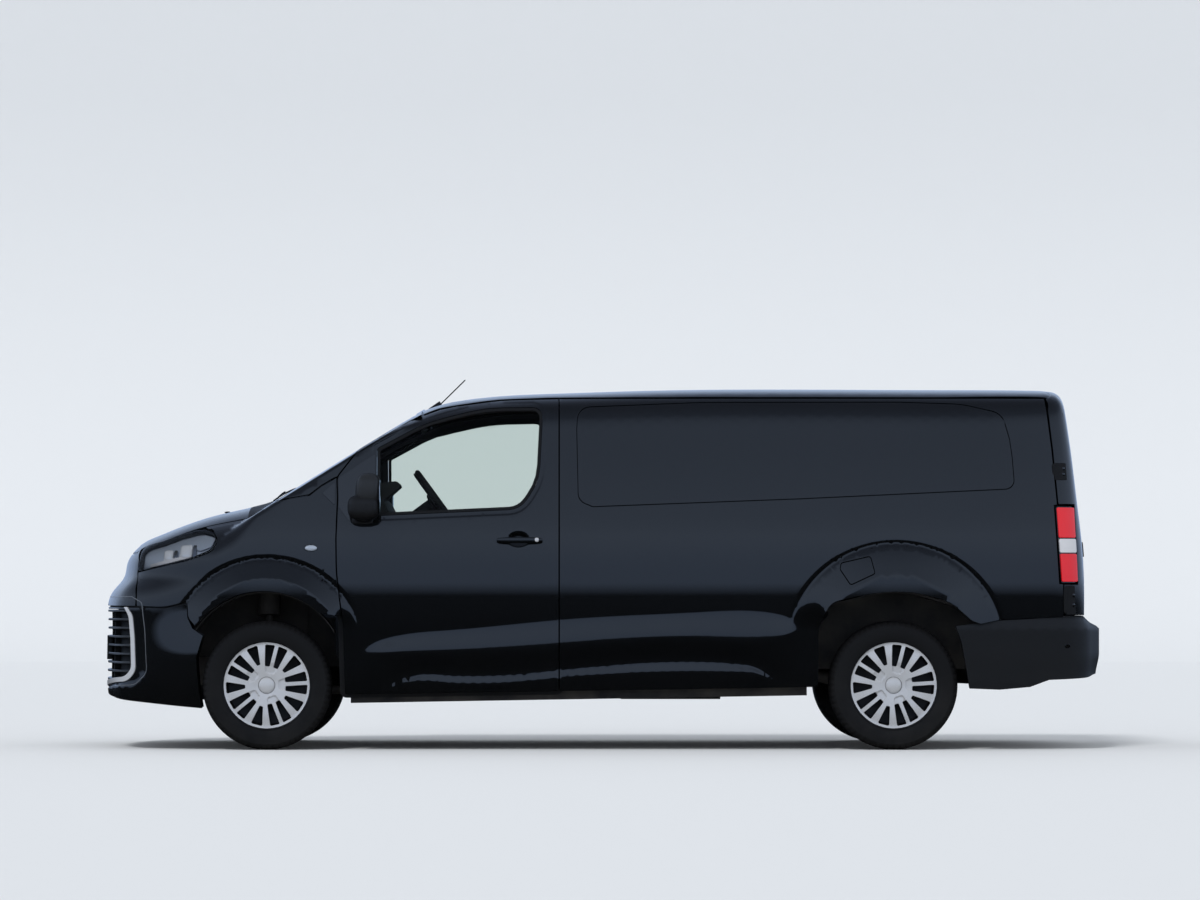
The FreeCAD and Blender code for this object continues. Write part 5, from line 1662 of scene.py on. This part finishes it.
@dataclass
class Details(Assembly):
    """Glass, seals, lamps, mirrors and handles of the sides and the tail."""

    screen: Corners = ((-1758, -780, 60), (-1758, 780, 60), (-990, 672, 50), (-990, -672, 50))
    sail: Corners = ((-1386, 1264, 6), (-1330, 1192, 20), (-1196, 1202, 6), (-1196, 1550, 6), (-1386, 1424, 6))
    cowl: Corners = ((-1872, -750, 20), (-1872, 750, 20), (-1748, 770, 20), (-1748, -770, 20))
    # Ends of the wiper blades across the van
    wipers: Corners = ((-690, -60), (-20, 560))
    pillar_foot: Corners = ((-954, -676), (-990, -676), (-1758, -784), (-1862, -752), (-1872, -747), (-2092, -722))
    pillar_line: Corners = ((-1690, 1308), (-1540, 1334), (-1478, 1382), (-1397, 1430), (-1281, 1578),
                            (-1071, 1702), (-958, 1755))
    pillar_crest: Point = (-958, -1030, -1100, -1200, -1300, -1400, -1500, -1600, -1680)
    # Foot and top of the tail lamp's fields, and its material index
    lamp_fields: Corners = ((1108, 1266, 1), (878, 1024, 1), (1030, 1102, 2))
    # Hinge covers: x range, z range
    hinges: Corners = ((2352, 2420, 1410, 1500), (2408, 2462, 706, 858))
    bumper_side: Corners = ((1831, 648), (1862, 560), (1884, 440), (1905, 322), (2060, 316), (2221, 330),
                            (2320, 366))
    flange_lift: float = -49.0

    def build(self) -> None:
        """Adds every piece."""
        self.glazing()
        self.front_covers()
        self.pillars()
        self.flanges()
        self.fuel_flap()
        self.mirrors()
        self.handles()
        self.tail_lamps()
        self.rear_bumper()
        self.tail_fittings()
        self.right_rail()

    def glazing(self) -> None:
        """Windscreen, door glass and their black edges."""
        van, window = self.van, Outline(DOOR_WINDOW)
        glass = self.sheet(SIDE, window.inset(3.0), depth=4, lift=-16, grid=60)
        van.pair("door_glass", glass, [Finish.GLASS], "front_door_{}", "glass", "front_door_glass_{}")
        seal = self.sheet(SIDE, window.inset(1.2), [window.inset(17.0)], depth=16, lift=-6)
        sail = self.sheet(SIDE, self.sail, slot=1, depth=8, lift=2, grid=40)
        van.pair("door_seal", seal.joined(sail), (Finish.RUBBER, Finish.GLOSS_BLACK), "front_door_{}")
        corner = self.sheet(SIDE, [(-1474, 1341, 5), (-1404, 1272, 6), (-1404, 1404, 6)],
                            depth=8, lift=2, grid=30)
        van.pair("wing_corner", corner, [Finish.GLOSS_BLACK])
        screen = Outline(self.screen)
        pane = self.sheet(TOP, screen, depth=5, lift=-3, grid=60)
        van.piece("screen_glass", pane, [Finish.GLASS], "root", "glass", ["windscreen"])
        band = self.sheet(TOP, screen, [screen.inset(34.0)], depth=2, lift=-2.2)
        van.piece("screen_band", band, [Finish.GLOSS_BLACK])

    def front_covers(self) -> None:
        """Cover below the windscreen, and the wipers on it."""
        cowl = self.sheet(TOP, self.cowl, depth=14, lift=0.5, grid=50)
        self.van.piece("cowl_cover", cowl, [Finish.TRIM])
        strips = []
        for y0, y1 in self.wipers:
            middle = (y0 + y1) / 2
            blade = Outline([(-1738, y0), (-1726, y0), (-1650, y1), (-1662, y1)], 60.0)
            arm = Outline([(-1752, y1 + 24), (-1752, y1 - 4), (-1700, middle - 8), (-1688, middle + 8)], 60.0)
            strips += [self.sheet(TOP, shape, depth=8, lift=lift) for shape, lift in ((blade, 8.0), (arm, 15.0))]
        self.van.piece("wiper_blades", merged(strips), [Finish.RUBBER], "root", "dark_trim", ["wipers"])

    def pillars(self) -> None:
        """Painted pillars beside the windscreen, from above and from the side."""
        van = self.van
        wing = part_of_side()["wing"].points
        wing = wing[(wing[:, 1] > 1120) & (wing[:, 0] > -2092) & (wing[:, 0] < -1745)]
        outer = [(x, min(y - 10.0, -762.0)) for x, y in van.plan(wing[np.argsort(wing[:, 0])][::2])]
        outer += [(x, 4.0 - van.corner(x)[0]) for x in (*range(-1690, -960, 60), -954)]
        top = self.sheet(TOP, [*outer, *self.pillar_foot], depth=18, lift=-1.6, grid=40)
        crest = [(x, van.corner(x)[1] - 3.0) for x in self.pillar_crest]
        side = self.sheet(SIDE, [*self.pillar_line, *crest], depth=18, lift=0.4, grid=30)
        pillar = top.joined(side)
        van.piece("pillar_skins", pillar.joined(pillar.mirrored()), [Finish.PAINT])

    def flange(self, chart: Chart, zone: Outline, out: float, width: float, lift: float) -> Shell:
        """A flat ring from outside an opening's outline to a width inside it."""
        return self.panel(chart, zone.inset(-out), [zone.inset(width)], depth=3, lift=lift, grid=60)

    def flanges(self) -> None:
        """Flanges with their seals behind the shut lines, round each opening."""
        van, lift = self.van, self.flange_lift
        van.pair("door_flange", self.flange(SIDE, Outline(DOOR), 24.0, 26.0, lift), SEAL)
        slider = self.flange(SIDE, Outline(SLIDING_DOOR), 22.0, 24.0, lift)
        van.piece("side_door_flange", slider.mirrored(), SEAL)
        van.piece("bonnet_gutter", self.flange(TOP, van.bonnet_outline(-1957.0), 2.0, 22.0, -30.0), SEAL)
        tail = van.tail_outline()
        whole = Outline(tail + [(-u, v) for u, v in reversed(tail)], 40.0)
        van.piece("tail_flange", self.flange(TAIL, whole, 14.0, 28.0, lift), SEAL)
        seam = self.panel(TAIL, box(-20, 712, 20, 1880), depth=3, lift=lift + 1, grid=60)
        van.piece("centre_seal", seam, SEAL, "rear_door_left")

    def fuel_flap(self) -> None:
        """Fuel flap with its finger pull and the tray behind it."""
        flap = Outline(FUEL_FLAP, 12.0)
        cover = self.sheet(SIDE, flap.inset(Skins.flap_gap), relief=SideRelief(), depth=10)
        tray = self.sheet(SIDE, flap.inset(-12.0), slot=1, depth=3, lift=-22, grid=60)
        pull = repainted(pod((7, 4, 9), (1412, -962, 924), 3.0, 8, 12), 1)
        self.van.piece("fuel_flap", merged([cover, tray, pull]), (Finish.PAINT, Finish.RUBBER))

    def mirrors(self) -> None:
        """Two-part door mirrors."""
        upper = leaning(pod((64, 66, 88), (-1232, -1034, 1354), 2.9), 1300.0, 0.06)
        trim = [pod((84, 71, 66), (-1250, -1034, 1264)), pod((46, 60, 24), (-1252, -962, 1212)),
                pod((62, 16, 22), (-1262, -928, 1196))]
        glass = repainted(pod((3, 55, 88), (-1167, -1034, 1318), 4.0), 2)
        self.van.pair("mirror_head", merged([upper, *(repainted(p, 1) for p in trim), glass]),
                      (Finish.MIRROR_SHELL, Finish.TRIM, Finish.CHROME), "front_door_{}", "dark_trim", "mirror_{}")

    def handles(self) -> None:
        """Pull handles of the cab doors, with the key cylinder."""
        bar = pod((120, 9, 16), (-441, -981, 1094), 3.6, 14, 40)
        feet = [pod((22, 14, 12), (x, -966, 1094)) for x in (-538, -352)]
        self.van.pair("pull_handle", merged([bar] + feet), [Finish.PAINT], "front_door_{}", "body_paint",
                      "door_handle_{}")
        lock = pod((11, 4, 11), (-352, -987, 1096), 2.6, 10, 20)
        self.van.pair("key_lock", lock, [Finish.SATIN], "front_door_{}")

    def tail_lamps(self) -> None:
        """Upright tail lamps: red, white and red fields in a black housing."""
        def ribs(u: Array, v: Array) -> Array:
            return 1.6 * np.clip(np.abs(v - 1192.0) / 70.0 - 0.75, 0, 1)

        parts = [self.sheet(SIDE, TAIL_LAMP, depth=30, lift=-3, grid=24)]
        for z0, z1, slot in self.lamp_fields:
            left = [2388 - (z - 872) / 400 * 25 for z in (z0, z1)]
            right = [2474 - (z - 872) / 400 * 16 for z in (z0, z1)]
            field = Outline([(left[0], z0, 7), (left[1], z1, 7), (right[1], z1, 7), (right[0], z0, 7)], 12.0)
            parts.append(self.sheet(SIDE, field, slot=slot, relief=ribs, depth=12, lift=5, grid=9))
        self.van.pair("tail_lamp", merged(parts), (Finish.GLOSS_BLACK, Finish.RED, Finish.WHITE),
                      replaces="tail_lamps")

    def rear_bumper(self) -> None:
        """Grained bumper that wraps round the tail."""
        van = self.van
        line = [(0.0, 394.0), (-500.0, 388.0)] + van.carried(TAIL, self.bumper_side)[::-1]
        line += van.carried(TAIL, [(2064, 676), (2273, 686), (2440, 692)]) + [(-500.0, 694.0), (0.0, 690.0)]
        whole = line + [(-u, v) for u, v in reversed(line[1:-1])]

        def bulge(u: Array, v: Array) -> Array:
            wide = 12.0 + 78.0 * (1 - ease((np.abs(u) - 250.0) / 620.0))
            step = ease((690.0 - v) / 60.0)
            return wide * step * (1 - 0.22 * ease((500.0 - v) / 120.0)) + 2.0

        shell = self.sheet(TAIL, whole[::-1], relief=bulge, depth=34, grid=30)
        van.piece("bumper_rear", shell, [Finish.TRIM], "root", "dark_trim", ["rear_bumper"])
        shelf = self.sheet(TAIL, box(-930, 650, 930, 700), depth=44, lift=-3, grid=60)
        van.piece("bumper_shelf", shelf, [Finish.RUBBER])
        x, z = 2413, 543
        at = chart_u(TAIL, x, van.point(SIDE, x, z)[1])
        disc = self.sheet(TAIL, oval(at, z, 11, 11, 4.0), relief=bulge, depth=8, lift=2, grid=6)
        van.pair("rear_sensor", disc, [Finish.GLOSS_BLACK])

    def tail_fittings(self) -> None:
        """Hinge covers and centre handle of the rear doors."""
        straps, roots = [], []
        for x0, x1, z0, z1 in self.hinges:
            cover = [(x0 + 5, z0, 5), (x1 + 3, z0, 5), (x1 - 3, z1, 5), (x0, z1, 5)]
            straps.append(self.sheet(SIDE, cover, depth=10, lift=2))
            rows = np.linspace(z0, z1, 4)[1:-1]
            for z in rows:
                y = self.van.point(SIDE, x1, z)[1] - 6
                straps.append(repainted(pod((26, 9, 13), ((x0 + x1) / 2, y, z), 3.4), 1))
            y = self.van.point(SIDE, x0, rows[-1])[1] + 2
            roots.append(pod((8, 8, (z1 - z0) / 2 - 6), (x0 - 2, y, (z0 + z1) / 2), 4.0))
        self.van.pair("hinge_strap", merged(straps), (Finish.RUBBER, Finish.GLOSS_BLACK), "rear_door_{}")
        posts = merged(roots)
        self.van.piece("hinge_posts", posts.joined(posts.mirrored()), [Finish.RUBBER], "root", "dark_trim",
                       ["rear_hinge_roots"])
        plate = self.sheet(TAIL, [(-330, 1012, 20), (-40, 1012, 12), (-40, 1092, 12), (-330, 1092, 20)],
                           depth=20, lift=15)
        grip = self.sheet(TAIL, box(-36, 1130, -10, 1262, 10), depth=18, lift=14)
        self.van.piece("rear_handle", plate.joined(grip), [Finish.TRIM], "rear_door_left")

    def right_rail(self) -> None:
        """Rail and handle of the sliding side door, on the right."""
        rail = self.sheet(SIDE, box(884, 902, 2290, 926, 6), depth=8, lift=1.5, grid=40)
        self.van.piece("slide_rail", rail.mirrored(), [Finish.TRIM])
        bar = pod((100, 8, 13), (-120, 985, 1094), 4.0, 14, 36)
        feet = [pod((20, 16, 12), (x, 968, 1094)) for x in (-200, -42)]
        self.van.piece("slide_handle", merged([bar] + feet), [Finish.PAINT])


@dataclass
class Inside(Assembly):
    """Cab and load space: seats, wheel and boards, and finishes of the CAD nodes."""

    # Seats: name, place across, half width, places of the headrests
    seats: tuple = (("driver", -430.0, 245.0, (-430.0,)), ("passenger", 330.0, 435.0, (110.0, 550.0)))
    wheel_r: float = 182.0
    grip_r: float = 15.0
    wheel_tip: float = 54.0

    def build(self) -> None:
        """Adds every piece."""
        for seat in self.seats:
            self.seat(*seat)
        self.steering_wheel()
        self.boards()
        self.paint_nodes()

    def seat(self, name: str, y: float, half: float, heads: Sequence[float]) -> None:
        """Adds one seat or bench.

        Args:
            name: Who sits on it.
            y: Its place across the van.
            half: Half its width.
            heads: Places of its headrests.
        """
        van = self.van
        base = pod((190, half - 50, 128), (-555, y, 556), 6.0)
        van.piece(f"{name}_seat_base", base, [Finish.SOFT_TRIM], "root", "inner_trim", [f"{name}_seat"])
        back = leaning(pod((52, half - 4, 330), (-336, y, 1045), 4.0, 26, 40), 700.0, 0.13)
        soft = [("cushion", pod((236, half, 56), (-560, y, 742), 4.5, 20, 44)), ("backrest", back)]
        for title, shell in soft:
            made = van.piece(f"{name}_{title}", shell, [Finish.CLOTH], "root", "seat_fabric")
        for k, place in enumerate(heads, 1):
            head = van.piece(f"{name}_headrest_{k}", pod((40, 128, 78), (-262, place, 1478), 3.6),
                             [Finish.CLOTH], "root", "seat_fabric")
            posts = [tube([(-268, place + s, 1340), (-262, place + s, 1430)], 6.0) for s in (-55, 55)]
            van.piece(f"{name}_posts_{k}", merged(posts), [Finish.STEEL])

    def steering_wheel(self) -> None:
        """Steering wheel with its boss and column."""
        ring = [(self.wheel_r + self.grip_r * math.cos(a), self.grip_r * math.sin(a))
                for a in np.radians(np.arange(0, 360, 30))]
        parts = [upright(lathe(ring, 72, closed=True)), pod((66, 60, 26), (0, 0, -16)),
                 tube([(0, 0, -330), (0, 0, -40)], 34.0, 18)]
        parts += [pod((90, 17, 8), (s * 100, 0, -18), 4.0) for s in (-1, 1)]
        whole = merged(parts + [pod((17, 90, 8), (0, -100, -18), 4.0)])
        spun = Shell(whole.points[:, [1, 0, 2]] * [1, -1, 1], whole.normals[:, [1, 0, 2]] * [1, -1, 1],
                     whole.faces, whole.slots)
        self.van.piece("steering_ring", outward(moved(tipped(spun, self.wheel_tip), -881, -420, 1312)),
                       [Finish.SOFT_TRIM], "root", "inner_trim", ["steering_wheel"])

    def boards(self) -> None:
        """Load floor board, walls of the front wheel wells and the mat of the cab."""
        self.van.piece("load_board", block((-30, -610, 600.6), (2290, 610, 609)), [Finish.FLOOR_BOARD])
        walls = [block((-1566, y, 430), (-1362, y + 8, 772)) for y in (-500, 492)]
        self.van.piece("well_walls", merged(walls), [Finish.UNDERBODY])
        self.van.piece("cab_mat", block((-1180, -780, 430.6), (-110, 780, 436)), [Finish.RUBBER])

    def paint_nodes(self) -> None:
        """Finishes of the CAD nodes that stay shown."""
        finishes = {
            Finish.UNDERBODY: ("floor_pan", "wheel_houses", "arch_liners", "front_subframe", "rear_axle",
                               "fuel_tank", "radiator"),
            Finish.PAINT: ("cab_frame",), Finish.CASTING: ("engine_block", "knuckle_left", "knuckle_right"),
            Finish.STEEL: ("exhaust",), Finish.TRIM: ("aerial",), Finish.DASH_TOP: ("dashboard",),
            Finish.SOFT_TRIM: ("bulkhead",),
        }
        for finish, names in finishes.items():
            for name in names:
                mesh = self.van.frame["nodes"][name].data
                mesh.materials.clear()
                mesh.materials.append(self.van.materials[finish])


@dataclass
class Studio:
    """Camera, light and the pale room round the van, in metres."""

    focus_px: float = 4900.0
    photo_w: float = 1200.0
    photo_h: float = 900.0
    column: float = 555.0
    horizon_px: float = 601.3
    sensor: float = 36.0
    away: float = 26.49
    eye: Point = (-0.2568, 0.776)
    reach: float = 70.0
    back: float = 44.0
    rise: float = 8.0
    height: float = 60.0
    sky_strength: float = 1.12
    # Sky seen in reflections: place between below and overhead, display values
    sky: Corners = ((0.0, 10, 12, 14), (0.195, 18, 20, 23), (0.215, 154, 174, 206), (0.4, 168, 186, 214),
                    (0.65, 104, 116, 138), (1.0, 84, 92, 110))

    def build(self) -> None:
        """Makes the camera, the light, the room and the colour settings."""
        scene = bpy.context.scene
        data = bpy.data.cameras.new("photo_camera")
        camera = linked("photo_camera", data)
        camera.location = (self.eye[0], -self.away, self.eye[1])
        camera.rotation_euler = (math.pi / 2, 0, 0)
        data.sensor_width = self.sensor
        data.lens = self.focus_px * self.sensor / self.photo_w
        data.shift_x = (self.photo_w / 2 - self.column) / self.photo_w
        data.shift_y = (self.horizon_px - self.photo_h / 2) / self.photo_w
        data.clip_end = 300.0
        scene.camera = camera
        scene.view_settings.view_transform = "Standard"
        self.world()
        self.room()
        sun = bpy.data.lights.new("high_sun", "SUN")
        sun.energy, sun.angle = 1.3, math.radians(12)
        lamp = linked("high_sun", sun)
        lamp.rotation_euler = (math.radians(38), 0, math.radians(-24))
        lamp.visible_glossy = False

    def world(self) -> None:
        """Sky for light and reflections, pale behind the van for the camera."""
        world = bpy.data.worlds.new("studio")
        bpy.context.scene.world = world
        nodes = blank_tree(world)
        split = nodes.add("SeparateXYZ", {0: nodes.add("TexCoord").outputs["Generated"]})
        up = nodes.add("MapRange", {"Value": split.outputs["Z"], "From Min": -0.25, "From Max": 1.0})
        ramp = nodes.add("ValToRGB", {0: up.outputs[0]})
        elements = ramp.color_ramp.elements
        while len(elements) < len(self.sky):
            elements.new(0.5)
        for element, (at, *levels) in zip(elements, self.sky):
            element.position, element.color = at, rgb(*levels)
        path = nodes.add("LightPath")
        glossy = nodes.add("Background", {"Color": ramp.outputs[0], "Strength": self.sky_strength})
        diffuse = nodes.add("Background", {"Color": rgb(226, 230, 236), "Strength": 0.9})
        plain = nodes.add("Background", {"Color": rgb(236, 238, 240), "Strength": 1.0})
        lit = nodes.shaders(path.outputs["Is Glossy Ray"], diffuse, glossy)
        seen = nodes.shaders(path.outputs["Is Camera Ray"], lit, plain)
        nodes.add("OutputWorld", {"Surface": seen.outputs[0]})

    def room(self) -> None:
        """Floor that rises into a backdrop."""
        material = bpy.data.materials.new("studio_floor")
        nodes = blank_tree(material)
        pale = nodes.add("BsdfDiffuse", {"Color": rgb(222, 224, 226)})
        dark = nodes.add("BsdfDiffuse", {"Color": rgb(20, 21, 23)})
        path = nodes.add("LightPath")
        mixed = nodes.shaders(path.outputs["Is Glossy Ray"], pale, dark)
        nodes.add("OutputMaterial", {"Surface": mixed.outputs[0]})
        foot = self.back - self.rise
        rows = [(-self.reach, 0.0), (foot, 0.0)]
        rows += [(foot + self.rise * math.sin(a), self.rise - self.rise * math.cos(a))
                 for a in np.radians(np.arange(10, 91, 10))]
        rows.append((self.back, self.height))
        points = [(x, y, z) for y, z in rows for x in (-self.reach, self.reach)]
        faces = [(2 * k, 2 * k + 1, 2 * k + 3, 2 * k + 2) for k in range(len(rows) - 1)]
        for name, part in (("floor", faces[:1]), ("backdrop", faces[1:])):
            mesh = bpy.data.meshes.new(name)
            mesh.from_pydata(points, [], part)
            mesh.polygons.foreach_set("use_smooth", [True] * len(part))
            mesh.materials.append(material)
            made = linked(name, mesh)
            made.visible_glossy = name == "floor"


def main() -> None:
    """Builds the scene."""
    logging.basicConfig(level=logging.INFO)
    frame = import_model()
    van = Van(frame)
    for assembly in (Skins, Wheels, Front, Details, Inside):
        assembly(van).build()
    Studio().build()


if __name__ == "__main__":
    main()
